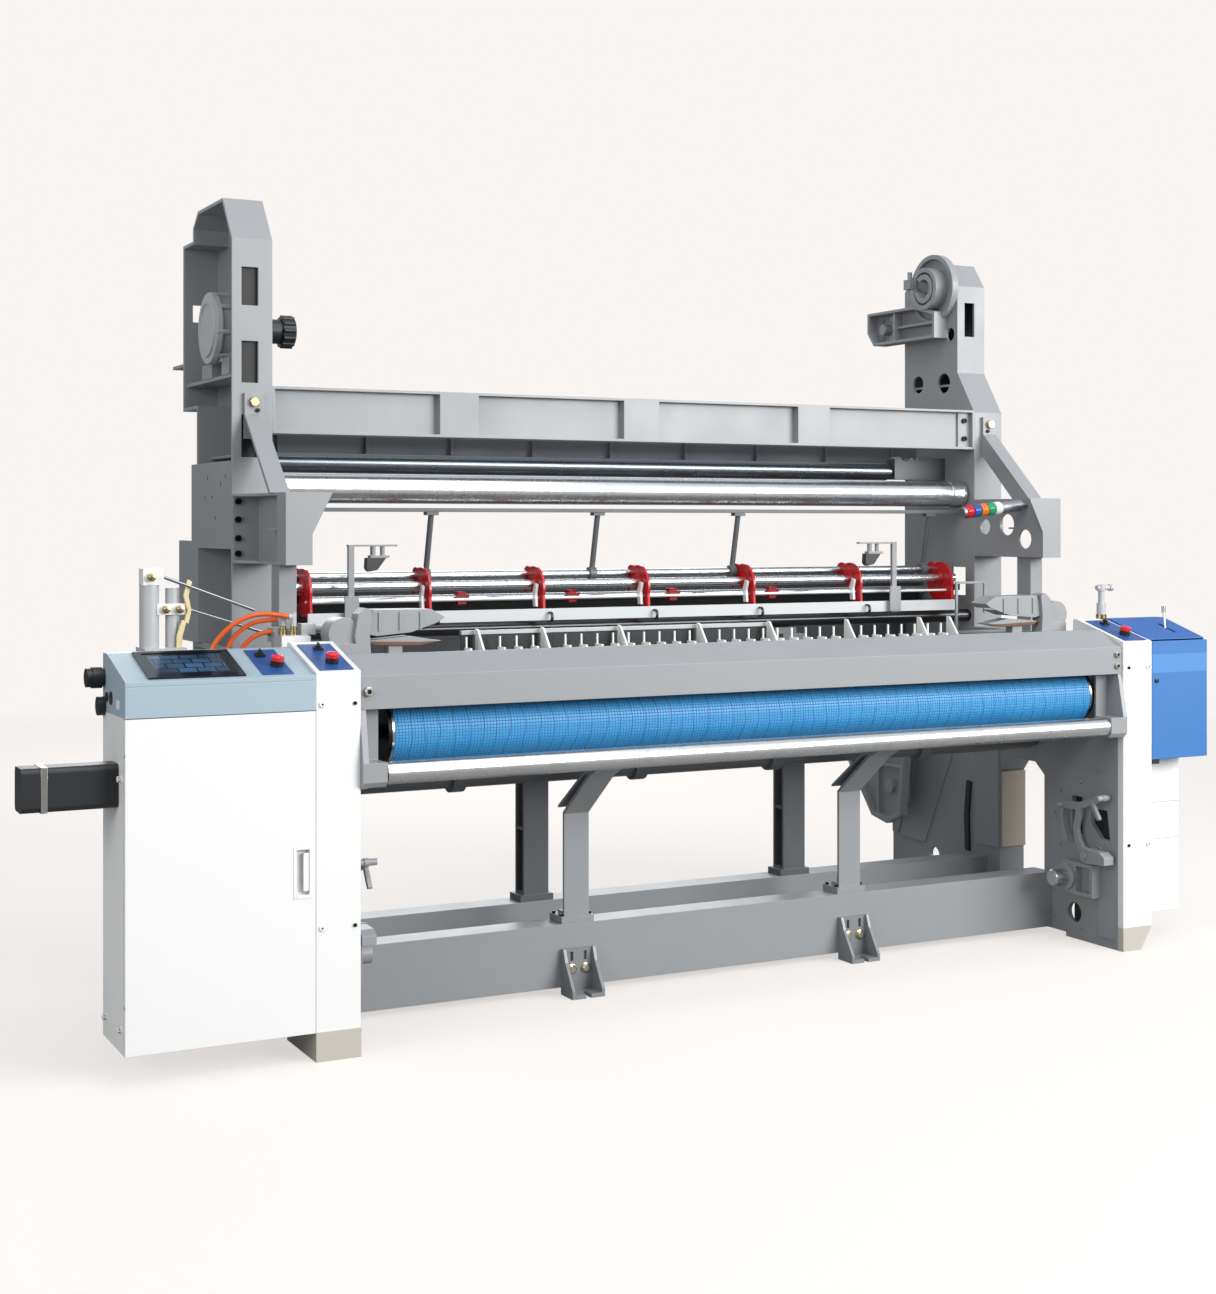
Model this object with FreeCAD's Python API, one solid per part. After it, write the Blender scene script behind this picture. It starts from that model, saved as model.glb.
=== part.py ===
import FreeCAD, Part
import math
import os

# Power loom, about 2.3 m weaving width.  Laid out in mm with x = 0 at the weaving centre,
# y = 0 at the front plane of the columns (+y runs to the back) and z = 0 at the floor.
# Every shape is moved by ORIGIN on export, so the file origin is the middle of the footprint.

V = FreeCAD.Vector

# ---- driving dimensions ------------------------------------------------------------------
GAP = 1280.0            # weaving centre to the inner face of a side frame
COLUMN_W = 120.0        # width of a side column
FOOT_H = 75.0
COLUMN_TOP = 987.0      # front top edge of the column covers
SLOPE_RUN = 218.0       # depth of the sloped column top
SLOPE_RISE = 63.0
SHEET = 3.0             # sheet-metal covers
FRAME_TOP = 1000.0
WEB_T = 18.0            # web of a cast side frame
RIM_T = 16.0
BASE_Z0, BASE_Z1 = 20.0, 202.0
BASE_FRONT_Y, BASE_REAR_Y, BASE_D = 339.0, 680.0, 90.0
POST_X = 485.0          # intermediate posts on the base beams
CABINET_W = 480.0
CABINET_D = 240.0
CABINET_Z0, CABINET_Z1 = 74.0, 891.0
CONSOLE_FRONT_Z, CONSOLE_TOP_Z, CONSOLE_RUN = 979.0, 1038.0, 197.0
BEAM_Z0, BEAM_Z1 = 886.0, 972.0
TAKEUP_R, TAKEUP_Y, TAKEUP_Z = 90.0, 150.0, 812.0
PRESS_R, PRESS_Y, PRESS_Z = 30.0, 12.0, 720.0
TOWER_Y = 750.0         # front face of both towers
TOWER_T = 10.0          # tower plate thickness
LEFT_TOP, RIGHT_TOP = 2318.0, 2300.0
TOPBEAM_Z0, TOPBEAM_Z1 = 1627.0, 1765.0
PAD_X = (-690.0, -57.0, 604.0)
GUIDE_R, GUIDE_Y, GUIDE_Z = 44.0, 822.0, 1469.0
UPPER_R, UPPER_Y, UPPER_Z = 31.0, 940.0, 1549.0
BACKREST_R, BACKREST_Y, BACKREST_Z = 70.0, 1085.0, 1122.0
PLATE_X = (-1169.0, -793.0, -413.0, -41.0, 356.0, 783.0, 1168.0)
TENSION_Y, TENSION_Z = 800.0, 1174.0
TUBE_R = 15.0
BAR_Y, BAR_Z0, BAR_Z1 = 722.0, 1064.0, 1100.0
SLEY_Y, SLEY_Z = 430.0, 640.0
SLEY_HALF = 885.0
FIN_X = (-815.0, -610.0, -360.0, -92.0, 156.0, 442.0, 722.0, 840.0)
PRONG_PITCH = 51.5
GEAR_Y, GEAR_Z, GEAR_R = 935.0, 1943.0, 105.0
WHEEL_R = 48.0
BEARING_Y, BEARING_Z, BEARING_R = 965.0, 2215.0, 125.0
SHELF_Z0, SHELF_Z1, SHELF_Y0 = 1250.0, 1450.0, 385.0
DRIVE_W, DRIVE_Z0, DRIVE_Z1 = 238.0, 606.0, 992.0
HOSE_R = 6.5
FIT = 0.06              # running clearance on a journal radius
GUARD_TIP = -2112.0     # outer end of the rapier guard
ORIGIN = V(235.0, -718.0, 0.0)

OUT = GAP + COLUMN_W
SLOPE = math.degrees(math.atan2(SLOPE_RISE, SLOPE_RUN))
os.makedirs("parts", exist_ok=True)


# ---- shape helpers -----------------------------------------------------------------------
def box(x0, x1, y0, y1, z0, z1):
    return Part.makeBox(x1 - x0, y1 - y0, z1 - z0, V(x0, y0, z0))


def cyl_x(x0, x1, y, z, r):
    return Part.makeCylinder(r, x1 - x0, V(x0, y, z), V(1, 0, 0))


def cyl_y(y0, y1, x, z, r):
    return Part.makeCylinder(r, y1 - y0, V(x, y0, z), V(0, 1, 0))


def cyl_z(z0, z1, x, y, r):
    return Part.makeCylinder(r, z1 - z0, V(x, y, z0), V(0, 0, 1))


def poly_face(points):
    return Part.Face(Part.makePolygon(points + [points[0]]))


def prism_x(yz, x0, x1):
    return poly_face([V(x0, y, z) for y, z in yz]).extrude(V(x1 - x0, 0, 0))


def prism_y(xz, y0, y1):
    return poly_face([V(x, y0, z) for x, z in xz]).extrude(V(0, y1 - y0, 0))


def prism_z(xy, z0, z1):
    return poly_face([V(x, y, z0) for x, y in xy]).extrude(V(0, 0, z1 - z0))


def rod(a, b, r):
    a, b = V(*a), V(*b)
    return Part.makeCylinder(r, (b - a).Length, a, b - a)


def join(shapes):
    first = shapes[0]
    return first if len(shapes) == 1 else first.fuse(shapes[1:]).removeSplitter()


def mirror(shape):
    return shape.mirror(V(0, 0, 0), V(1, 0, 0))


def both(shape):
    """The shape on the right and its mirror image on the left."""
    return [shape, mirror(shape)]


def hose(points, r):
    """A round hose along straight runs joined by tangent arcs as large as the runs allow."""
    pts = [V(*p) for p in points]
    edges, last = [], pts[0]
    for a, b, c in zip(pts, pts[1:], pts[2:]):
        to_a, to_c = (a - b).normalize(), (c - b).normalize()
        half_turn = (math.pi - to_a.getAngle(to_c)) / 2
        cut = 0.45 * min((a - b).Length, (c - b).Length)
        radius = cut / math.tan(half_turn)
        inward = (to_a + to_c).normalize()
        middle = b + inward * (radius / math.cos(half_turn) - radius)
        edges.append(Part.makeLine(last, b + to_a * cut))
        edges.append(Part.Arc(b + to_a * cut, middle, b + to_c * cut).toShape())
        print("hose radius %.0f" % radius)
        last = b + to_c * cut
    edges.append(Part.makeLine(last, pts[-1]))
    wire = Part.Wire(edges)
    ring = Part.Wire(Part.Circle(pts[0], pts[1] - pts[0], r).toShape())
    tube = wire.makePipeShell([ring], True, True)
    print("hose length %.0f, volume error %.4f" %
          (wire.Length, tube.Volume / (math.pi * r * r * wire.Length) - 1))
    return tube


def on_slope(shape, z_front, degrees):
    """A shape drawn on a level top at z = 0 from y = 0, laid on a sloped top."""
    moved = shape.copy()
    moved.rotate(V(0, 0, 0), V(1, 0, 0), degrees)
    moved.translate(V(0, 0, z_front))
    return moved


def hex_head(x, y, z, across, height, axis):
    """A hexagon bolt head standing on its face at (x, y, z) along the axis."""
    r = across / math.sqrt(3.0)
    ring = [V(r * math.cos(math.radians(60 * k)), r * math.sin(math.radians(60 * k)), 0)
            for k in range(6)]
    head = poly_face(ring).extrude(V(0, 0, height))
    head.Placement = FreeCAD.Placement(V(x, y, z), FreeCAD.Rotation(V(0, 0, 1), V(*axis)))
    return head


def cap_screw(x, y, z, r, height, axis):
    """A socket cap screw head with its hexagon recess."""
    head = Part.makeCylinder(r, height)
    key = [V(0.55 * r * math.cos(math.radians(60 * k)), 0.55 * r * math.sin(math.radians(60 * k)),
             height * 0.45) for k in range(6)]
    head = head.cut(poly_face(key).extrude(V(0, 0, height)))
    head.Placement = FreeCAD.Placement(V(x, y, z), FreeCAD.Rotation(V(0, 0, 1), V(*axis)))
    return head


SAVED = []


def save(name, shapes):
    solids = []
    for shape in (shapes if isinstance(shapes, (list, tuple)) else [shapes]):
        solids.extend(shape.Solids)
    whole = solids[0] if len(solids) == 1 else Part.makeCompound(solids)
    whole.translate(ORIGIN)
    whole.exportStep("parts/" + name + ".step")
    bb = whole.BoundBox
    SAVED.append((bb.XMin, bb.XMax, bb.YMin, bb.YMax, bb.ZMin, bb.ZMax))
    print(name, len(solids), all(s.isValid() for s in solids),
          "%.0f..%.0f %.0f..%.0f %.0f..%.0f" % SAVED[-1])


# ---- base beams and anchors ----------------------------------------------------------------
def base_beam(y0):
    outer = box(-GAP, GAP, y0, y0 + BASE_D, BASE_Z0, BASE_Z1)
    inner = box(-GAP - 1, GAP + 1, y0 + 8, y0 + BASE_D - 8, BASE_Z0 + 8, BASE_Z1 - 8)
    return outer.cut(inner)


def anchor(xc):
    """Floor anchor: slotted back plate, two gussets and an open-notched foot."""
    half, front = 52.0, BASE_FRONT_Y - 78.0
    back = box(xc - half, xc + half, BASE_FRONT_Y - 10, BASE_FRONT_Y, 0, 132)
    foot = box(xc - half, xc + half, front, BASE_FRONT_Y, 0, 12)
    side = [(BASE_FRONT_Y, 0), (front, 0), (front, 22), (BASE_FRONT_Y - 30, 96),
            (BASE_FRONT_Y - 16, 132), (BASE_FRONT_Y, 132)]
    shape = join([back, foot, prism_x(side, xc - half, xc - half + 9),
                  prism_x(side, xc + half - 9, xc + half)])
    notch = [box(xc - 8, xc + 8, front - 1, front + 34, -1, 13), cyl_z(-1, 13, xc, front + 34, 8)]
    for dx in (-22, 22):
        notch.append(box(xc + dx - 5, xc + dx + 5, BASE_FRONT_Y - 11, BASE_FRONT_Y + 1, 96, 122))
    return shape.cut(join(notch))


save("base_beams", [base_beam(BASE_FRONT_Y), base_beam(BASE_REAR_Y)])
tie = box(-GAP, GAP, 1150, 1158, 880, 1060)
tie = join([tie, box(-GAP, GAP, 1158, 1200, 880, 888), box(-GAP, GAP, 1158, 1200, 1052, 1060)])
channel = join([box(-GAP, GAP, 1090, 1098, 1560, 1700), box(-GAP, GAP, 1098, 1140, 1560, 1568),
                box(-GAP, GAP, 1098, 1140, 1692, 1700)]
               + [box(x - 5, x + 5, 1070, 1090, 1560, 1700) for x in range(-1160, 1161, 290)])
underbar = box(-GAP, GAP, GUIDE_Y - 20, GUIDE_Y + 10, 1400, 1412)
save("cross_beams", [tie, channel, underbar])


# ---- side frames ---------------------------------------------------------------------------
FRAME_X1 = GAP + 105.0


def side_frame():
    outline = [(26, 0), (270, 0), (270, 14), (378, 14), (378, 520), (425, 560), (565, 560),
               (610, 505), (610, 0), (1232, 0), (1232, FRAME_TOP), (240, FRAME_TOP),
               (240, 930), (26, 930)]
    body = prism_x(outline, GAP, FRAME_X1)
    face = poly_face([V(GAP + WEB_T, y, z) for y, z in outline])
    pocket = face.makeOffset2D(-RIM_T).extrude(V(FRAME_X1, 0, 0))
    ribs = [box(GAP, FRAME_X1, 26, 378, 300, 312), box(GAP, FRAME_X1, 610, 1232, 420, 432),
            box(GAP, FRAME_X1, 300, 1232, 700, 712), box(GAP, FRAME_X1, 860, 872, 0, FRAME_TOP)]
    body = body.cut(pocket).fuse([r.common(prism_x(outline, GAP, FRAME_X1)) for r in ribs])
    taper = prism_y([(GAP + 65, -1), (FRAME_X1 + 30, -1), (FRAME_X1 + 30, 80), (FRAME_X1 + 9, 80)], -1, 269)
    holes = [cyl_x(GAP - 1, GAP + 30, 229, 86, 33), cyl_x(GAP - 1, GAP + 30, 981, 158, 30),
             cyl_x(GAP - 1, GAP + 30, TAKEUP_Y, TAKEUP_Z, 20 + FIT),
             cyl_x(GAP - 1, GAP + 30, SLEY_Y, SLEY_Z, 25 + FIT),
             prism_x([(60, 345), (105, 345), (150, 390), (150, 440), (75, 440)], GAP - 1, GAP + 30),
             box(GAP - 1, GAP + 30, 190, 240, 345, 470)]
    return body.cut(join([taper])).cut(join(holes)).removeSplitter()


ROCK_Y, ROCK_Z = 119.0, 292.0       # rocking pin of the front levers
STUB_Y, STUB_Z = 219.0, 210.0       # chrome shaft end in its boss


def link(points, x0, x1, r):
    """A flat link of half width r along a line of (y, z) points, rounded at every joint."""
    bits = [cyl_x(x0, x1, y, z, r) for y, z in points]
    for (ya, za), (yb, zb) in zip(points[:-1], points[1:]):
        length = math.hypot(yb - ya, zb - za)
        ny, nz = -(zb - za) / length * r, (yb - ya) / length * r
        bits.append(prism_x([(ya + ny, za + nz), (yb + ny, zb + nz), (yb - ny, zb - nz), (ya - ny, za - nz)],
                            x0, x1))
    return join(bits)


def frame_details():
    """Raised plates, bosses, the shaft housing and the rocking pin on the inner face."""
    x = GAP
    bits = [prism_x([(34, 30), (115, 30), (115, 156), (34, 156)], x - 4, x),
            prism_x([(1226, 210), (1226, 560), (1060, 560), (1190, 210)], x - 8, x),
            prism_x([(940, 560), (860, 560), (1030, 200), (1190, 200), (1070, 560)], x - 5, x)]
    housing = prism_x([(99, 156), (240, 156), (252, 180), (252, 240), (236, 262), (99, 262)], x - 40, x)
    housing = housing.cut(prism_x([(112, 168), (180, 168), (180, 250), (112, 250)], x - 41, x - 12))
    bits += [housing, cyl_x(x - 52, x, STUB_Y, STUB_Z, 42), cyl_x(x - 6, x, ROCK_Y, ROCK_Z, 30),
             cyl_x(x - 62, x, ROCK_Y, ROCK_Z, 12)]
    for y, z in ((330, 60), (330, 150), (300, 300), (330, 400), (300, 480), (200, 520), (120, 560), (70, 60),
                 (200, 40), (640, 250), (700, 250), (640, 380), (640, 500), (1000, 620), (900, 640)):
        bits.append(cyl_x(x - 5, x, y, z, 7))
    guard = prism_x([(612, 240), (735, 240), (735, 560), (715, 610), (680, 640), (640, 650), (612, 650)],
                    x - 6, x)
    return bits + [guard]


def beam_casting():
    """Ribbed bracket for the warp beam bearing, bolted inside the rear leg."""
    outline = [(1040, 300), (1120, 262), (1215, 280), (1372, 470), (1372, 640), (1150, 640), (1010, 560)]
    plate = prism_x(outline, GAP - 92, GAP - 78)
    rim = [(1056, 312), (1122, 282), (1206, 298), (1352, 476), (1352, 622), (1156, 622), (1030, 548)]
    lip = prism_x(outline, GAP - 112, GAP - 92).cut(prism_x(rim, GAP - 113, GAP - 91))
    ribs = [box(GAP - 106, GAP - 92, 1030, 1360, 470, 480), box(GAP - 106, GAP - 92, 1180, 1190, 290, 630),
            cyl_x(GAP - 118, GAP - 92, 1270, 550, 42), cyl_x(GAP - 110, GAP - 92, 1110, 400, 24)]
    body = join([plate, lip, box(GAP - 78, GAP, 1120, 1200, 330, 600)] + ribs)
    bore = cyl_x(GAP - 120, GAP - 77, 1270, 550, 25)
    return body.cut(bore)


frame_casting = join([side_frame()] + frame_details())
right_side = [frame_casting, cyl_x(GAP - 104, GAP - 52, STUB_Y, STUB_Z, 27),
              beam_casting().cut(frame_casting), box(GAP + 2, FRAME_X1, 602, 610, 243, 505)]
save("side_frame_right", right_side)
save("side_frame_left", [mirror(shape) for shape in right_side[:3]])


def rocker():
    """Cranked lever pair swinging on the rocking pin inside a front leg."""
    x0, x1 = GAP - 40, GAP - 26
    hub = cyl_x(GAP - 54, GAP - 10, ROCK_Y, ROCK_Z, 24)
    block = prism_x([(30, 274), (110, 268), (128, 290), (112, 314), (52, 312), (30, 298)], GAP - 54, GAP - 14)
    arms = [link([(150, 306), (172, 335), (182, 372), (172, 410), (168, 446)], x0, x1, 10),
            link([(132, 300), (150, 306)], x0, x1, 12),
            link([(168, 446), (120, 462), (54, 485)], x0, x1, 11), link([(239, 443), (168, 446)], x0, x1, 12),
            link([(239, 443), (248, 408), (240, 366), (224, 330)], x0, x1, 6),
            link([(96, 470), (62, 420)], GAP - 52, GAP - 40, 6)]
    pins = [cyl_x(GAP - 66, GAP - 14, 239, 443, 8), cyl_x(GAP - 62, GAP - 14, 54, 485, 9)]
    shape = join([hub, block] + arms + pins)
    return shape.cut(cyl_x(GAP - 60, GAP - 5, ROCK_Y, ROCK_Z, 12 + FIT))


save("rocker_right", rocker())
save("rocker_left", mirror(rocker()))


def foot_shape():
    """Stainless foot: the outer side slopes in to the floor."""
    front = prism_y([(GAP, 0), (GAP + 72, 0), (OUT, FOOT_H), (GAP, FOOT_H)], 0, 25)
    skin = prism_y([(GAP + 69, 0), (GAP + 72, 0), (OUT, FOOT_H), (OUT - 3, FOOT_H)], 25, 264)
    return join([front, skin])


def cabinet_foot():
    """Straight foot on the cabinet side, carried back as a skirt."""
    front = box(-OUT, -GAP, -3, 25, 0, FOOT_H)
    return join([front, box(-OUT, -FRAME_X1 - 1, 25, 236, 0, FOOT_H)])


ANCHOR_X = (-494.0, 472.0)
save("floor_feet", [foot_shape(), cabinet_foot()] + [anchor(x) for x in ANCHOR_X])


def column_cover():
    top = [(0, FOOT_H), (0, COLUMN_TOP), (SLOPE_RUN, COLUMN_TOP + SLOPE_RISE),
           (236, COLUMN_TOP + SLOPE_RISE), (236, FOOT_H)]
    hollow = [(SHEET, FOOT_H - 1), (SHEET, COLUMN_TOP - 2), (SLOPE_RUN, COLUMN_TOP + SLOPE_RISE - SHEET),
              (237, COLUMN_TOP + SLOPE_RISE - SHEET), (237, FOOT_H - 1)]
    cover = prism_x(top, GAP, OUT).cut(prism_x(hollow, GAP + SHEET, OUT - SHEET))
    cover = cover.cut(box(GAP - 1, GAP + SHEET + 1, 25, 240, FOOT_H - 1, 934))
    edge = [e for e in cover.Edges if e.BoundBox.XLength < 0.1 and e.BoundBox.YLength < 0.1
            and e.BoundBox.YMax < 0.1 and e.BoundBox.ZLength > 500]
    return cover.makeFillet(2.5, edge)


save("column_covers", both(column_cover()))

# ---- cabinet, door and console ---------------------------------------------------------------
CX1 = -OUT
CX0 = CX1 - CABINET_W
shell = box(CX0, CX1, 22, CABINET_D, CABINET_Z0, CABINET_Z1)
shell = shell.cut(box(CX0 + SHEET, CX1 - SHEET, 21, CABINET_D - SHEET, CABINET_Z0 + SHEET, CABINET_Z1 - SHEET))
HINGE_X, HINGE_Y, HINGE_Z = CX0 + 8.0, 11.0, (170.0, 780.0)
leaves = [box(CX0 + SHEET, CX1 - SHEET, 200, CABINET_D - SHEET, 470, 474)]
for z in HINGE_Z:
    leaves += [cyl_z(z - 24, z + 24, HINGE_X, HINGE_Y, 3.5),
               box(HINGE_X - 3, HINGE_X + 3, HINGE_Y, 30, z + 17, z + 24),
               box(CX0 + 1, HINGE_X + 3, 24, 30, z + 10, z + 30)]
save("cabinet_shell", join([shell] + leaves))

door = box(CX0, CX1 - 1, 0, 18.5, CABINET_Z0, CABINET_Z1 - 2)
door = door.cut(box(CX0 + 2, CX1 - 3, 2, 20, CABINET_Z0 + 2, CABINET_Z1 - 4))
knuckles = [box(HINGE_X - 7, HINGE_X + 7, 1, HINGE_Y + 7, z - 22, z + 15) for z in HINGE_Z]
notches = [box(CX0 - 1, CX0 + 3, 3.5, 20, z + 16, z + 25) for z in HINGE_Z]
door = join([door.cut(join(notches))] + knuckles).cut(join([cyl_z(z - 26, z + 26, HINGE_X, HINGE_Y, 3.5 + FIT) for z in HINGE_Z]))
HANDLE_X, HANDLE_Z = -1434.0, 484.0
tray = box(HANDLE_X - 24, HANDLE_X + 24, 0.1, 18, HANDLE_Z - 64, HANDLE_Z + 64)
door = door.fuse(tray).cut(box(HANDLE_X - 18, HANDLE_X + 18, -1, 15, HANDLE_Z - 58, HANDLE_Z + 58))
door = join([door, box(HANDLE_X + 2, HANDLE_X + 18, 1, 6, HANDLE_Z - 48, HANDLE_Z + 48)])
save("cabinet_door", door)

side = [(0, CABINET_Z1), (0, CONSOLE_FRONT_Z), (CONSOLE_RUN, CONSOLE_TOP_Z), (CABINET_D, CONSOLE_TOP_Z),
        (CABINET_D, CABINET_Z1)]
hollow = [(4, CABINET_Z1 + 3), (4, CONSOLE_FRONT_Z - 3), (CONSOLE_RUN, CONSOLE_TOP_Z - 4),
          (CABINET_D - 4, CONSOLE_TOP_Z - 4), (CABINET_D - 4, CABINET_Z1 + 3)]
console = prism_x(side, CX0, CX1).cut(prism_x(hollow, CX0 + 4, CX1 - 4))
seam = join([box(CX0 - 1, CX1 + 1, -1, 0.8, 966.5, 968), box(CX0 - 1, CX0 + 0.8, -1, CABINET_D + 1, 966.5, 968)])
console = console.cut(seam)
save("console", console)
CONSOLE_TILT = math.degrees(math.atan2(CONSOLE_TOP_Z - CONSOLE_FRONT_Z, CONSOLE_RUN))


def screen():
    bezel = box(-1820, -1577, 14, 198, 0, 5).cut(box(-1802, -1595, 28, 184, 3, 6))
    return on_slope(bezel, CONSOLE_FRONT_Z, CONSOLE_TILT)


save("touch_screen", screen())


def column_panel(sign):
    plate = box(GAP + 16, OUT - 14, 10, 205, 0, 2.5)
    return plate if sign > 0 else mirror(plate)


ESTOP_Y, SWITCH_Y = 62.0, 162.0
ESTOP_X = GAP + 58.0
ESTOP_TRAVEL = 3.5
panels = [on_slope(box(-1533, -1453, 16, 192, 0, 2.5), CONSOLE_FRONT_Z, CONSOLE_TILT)]
for sign in (1, -1):
    panels.append(on_slope(column_panel(sign), COLUMN_TOP, SLOPE))
save("control_panels", panels)


def collar(x, y):
    ring = cyl_z(2.5, 14, x, y, 17)
    return ring.cut(cyl_z(5, 15, x, y, 9.5))


def socket(x, y):
    """Square base of a selector switch, bored for the knob."""
    return box(x - 12, x + 12, y - 11, y + 11, 2.5, 9).cut(cyl_z(4.5, 10, x, y, 6 + FIT))


def selector(x, y):
    """Selector knob with a raised bar grip, turning in its square base."""
    return join([cyl_z(4.6, 9.3, x, y, 6), cyl_z(9.3, 13, x, y, 9), box(x - 2.5, x + 2.5, y - 8.5, y + 8.5, 13, 20)])


def mushroom(x, y):
    """Emergency-stop button: stem sliding in the collar and a domed red head."""
    head = cyl_z(18, 27, x, y, 17)
    head = head.fuse(Part.makeSphere(26, V(x, y, 5.8)).common(cyl_z(26.9, 40, x, y, 14.5)))
    return join([cyl_z(5 + ESTOP_TRAVEL + 0.6, 18, x, y, 9.5 - 0.3), head.removeSplitter()])


switches = [on_slope(collar(-1480, 74), CONSOLE_FRONT_Z, CONSOLE_TILT),
            on_slope(socket(-1504, 146), CONSOLE_FRONT_Z, CONSOLE_TILT)]
for sign in (1, -1):
    switches.append(on_slope(collar(sign * ESTOP_X, ESTOP_Y), COLUMN_TOP, SLOPE))
    switches.append(on_slope(socket(sign * (GAP + 62), SWITCH_Y), COLUMN_TOP, SLOPE))
save("panel_switches", switches)
save("estop_console", on_slope(mushroom(-1480, 74), CONSOLE_FRONT_Z, CONSOLE_TILT))
save("estop_left", on_slope(mushroom(-ESTOP_X, ESTOP_Y), COLUMN_TOP, SLOPE))
save("estop_right", on_slope(mushroom(ESTOP_X, ESTOP_Y), COLUMN_TOP, SLOPE))
save("selector_console", on_slope(selector(-1504, 146), CONSOLE_FRONT_Z, CONSOLE_TILT))
save("selector_left", on_slope(selector(-GAP - 62, SWITCH_Y), COLUMN_TOP, SLOPE))
save("selector_right", on_slope(selector(GAP + 62, SWITCH_Y), COLUMN_TOP, SLOPE))

# ---- breast beam, cheeks and front rollers -----------------------------------------------------
fold = [(6, BEAM_Z0), (6, BEAM_Z1), (110, 1021), (118, 1021), (118, 962), (112, 962), (112, 1012),
        (13, 966), (13, BEAM_Z0 + 7), (48, BEAM_Z0 + 7), (48, BEAM_Z0)]
breast = prism_x(fold, -GAP, GAP)
ribs = [prism_x([(13, BEAM_Z0 + 7), (13, 966), (112, 1012), (112, 962), (48, BEAM_Z0 + 7)], x - 4, x + 4)
        for x in range(-1000, 1001, 400)]
save("breast_beam", join([breast] + ribs))


def cheek():
    """Bracket below each end of the breast beam; it carries the press roller journal."""
    side_plate = prism_x([(8, BEAM_Z0), (-18, 750), (-18, 700), (-4, 684), (60, 684), (60, BEAM_Z0)],
                         GAP - 16, GAP)
    back = box(GAP - 66, GAP - 16, 52, 60, 740, BEAM_Z0)
    block = prism_x([(-18, 750), (-18, 700), (-4, 686), (60, 686), (60, 750)], GAP - 66, GAP - 16)
    return join([side_plate, back, block]).cut(cyl_x(GAP - 67, GAP - 30, PRESS_Y, PRESS_Z, 12 + FIT))


rail = box(-GAP, GAP, 140, 182, 672, 690)
save("breast_cheeks", both(cheek()) + [rail])
save("press_roller", join([cyl_x(-GAP + 70, GAP - 70, PRESS_Y, PRESS_Z, PRESS_R),
                           cyl_x(-GAP + 34, GAP - 34, PRESS_Y, PRESS_Z, 12)]))
TAKEUP_X0, TAKEUP_X1 = -1168.0, 1200.0
core = join([cyl_x(TAKEUP_X0, TAKEUP_X1, TAKEUP_Y, TAKEUP_Z, TAKEUP_R - 5),
             cyl_x(TAKEUP_X0 - 12, TAKEUP_X0, TAKEUP_Y, TAKEUP_Z, TAKEUP_R - 1),
             cyl_x(TAKEUP_X1, TAKEUP_X1 + 12, TAKEUP_Y, TAKEUP_Z, TAKEUP_R - 1),
             cyl_x(-GAP - 14, GAP + 14, TAKEUP_Y, TAKEUP_Z, 20)])
save("take_up_roller", core)
sleeve = cyl_x(TAKEUP_X0, TAKEUP_X1, TAKEUP_Y, TAKEUP_Z, TAKEUP_R)
save("take_up_sleeve", sleeve.cut(cyl_x(TAKEUP_X0 - 1, TAKEUP_X1 + 1, TAKEUP_Y, TAKEUP_Z, TAKEUP_R - 5)))


# ---- intermediate posts ------------------------------------------------------------------------
def bent_post(xc):
    """Cranked front post: channel section, foot plate and a stiffening web."""
    path = [(352, 222), (352, 520), (192, 646), (140, 672), (182, 672), (238, 650), (394, 540), (394, 222)]
    post = prism_x(path, xc - 40, xc + 40)
    pocket = [(362, 235), (362, 524), (206, 648), (196, 656), (236, 644), (388, 536), (402, 530), (402, 235)]
    post = post.cut(prism_x(pocket, xc - 41, xc - 6)).cut(prism_x(pocket, xc + 6, xc + 41))
    foot = box(xc - 52, xc + 52, 343, 425, BASE_Z1, 222)
    web = prism_x([(394, 222), (420, 222), (394, 320)], xc - 5, xc + 5)
    return join([post, foot, web])


def rear_post(xc):
    post = box(xc - 42, xc + 42, 690, 752, 222, 1000)
    post = post.cut(box(xc - 43, xc + 30, 700, 742, 230, 990))
    foot = box(xc - 56, xc + 56, 684, 762, BASE_Z1, 222)
    saddle = box(xc - 42, xc + 42, 740, 812, 985, 1040 - 22)
    webs = [box(xc - 42, xc + 30, 700, 742, z, z + 8) for z in (420, 620, 820)]
    return join([post, foot, saddle] + webs)


save("bent_posts", [bent_post(-POST_X - 4), bent_post(POST_X - 13)])
save("rear_posts", [rear_post(-460), rear_post(484)])

# ---- towers ----------------------------------------------------------------------------------
T = TOWER_T


def strip(points, x0, x1, t):
    """A folded plate: a band of thickness t inside an open line of (y, z) points, mitred at its folds."""
    normals = []
    for (ya, za), (yb, zb) in zip(points[:-1], points[1:]):
        length = math.hypot(yb - ya, zb - za)
        normals.append(((zb - za) / length, -(yb - ya) / length))
    inner = []
    for k, (y, z) in enumerate(points):
        ny, nz = normals[max(k - 1, 0)]
        my, mz = normals[min(k, len(normals) - 1)]
        scale = t / (1 + ny * my + nz * mz)
        inner.append((y + (ny + my) * scale, z + (nz + mz) * scale))
    return prism_x(points + inner[::-1], x0, x1)


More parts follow.
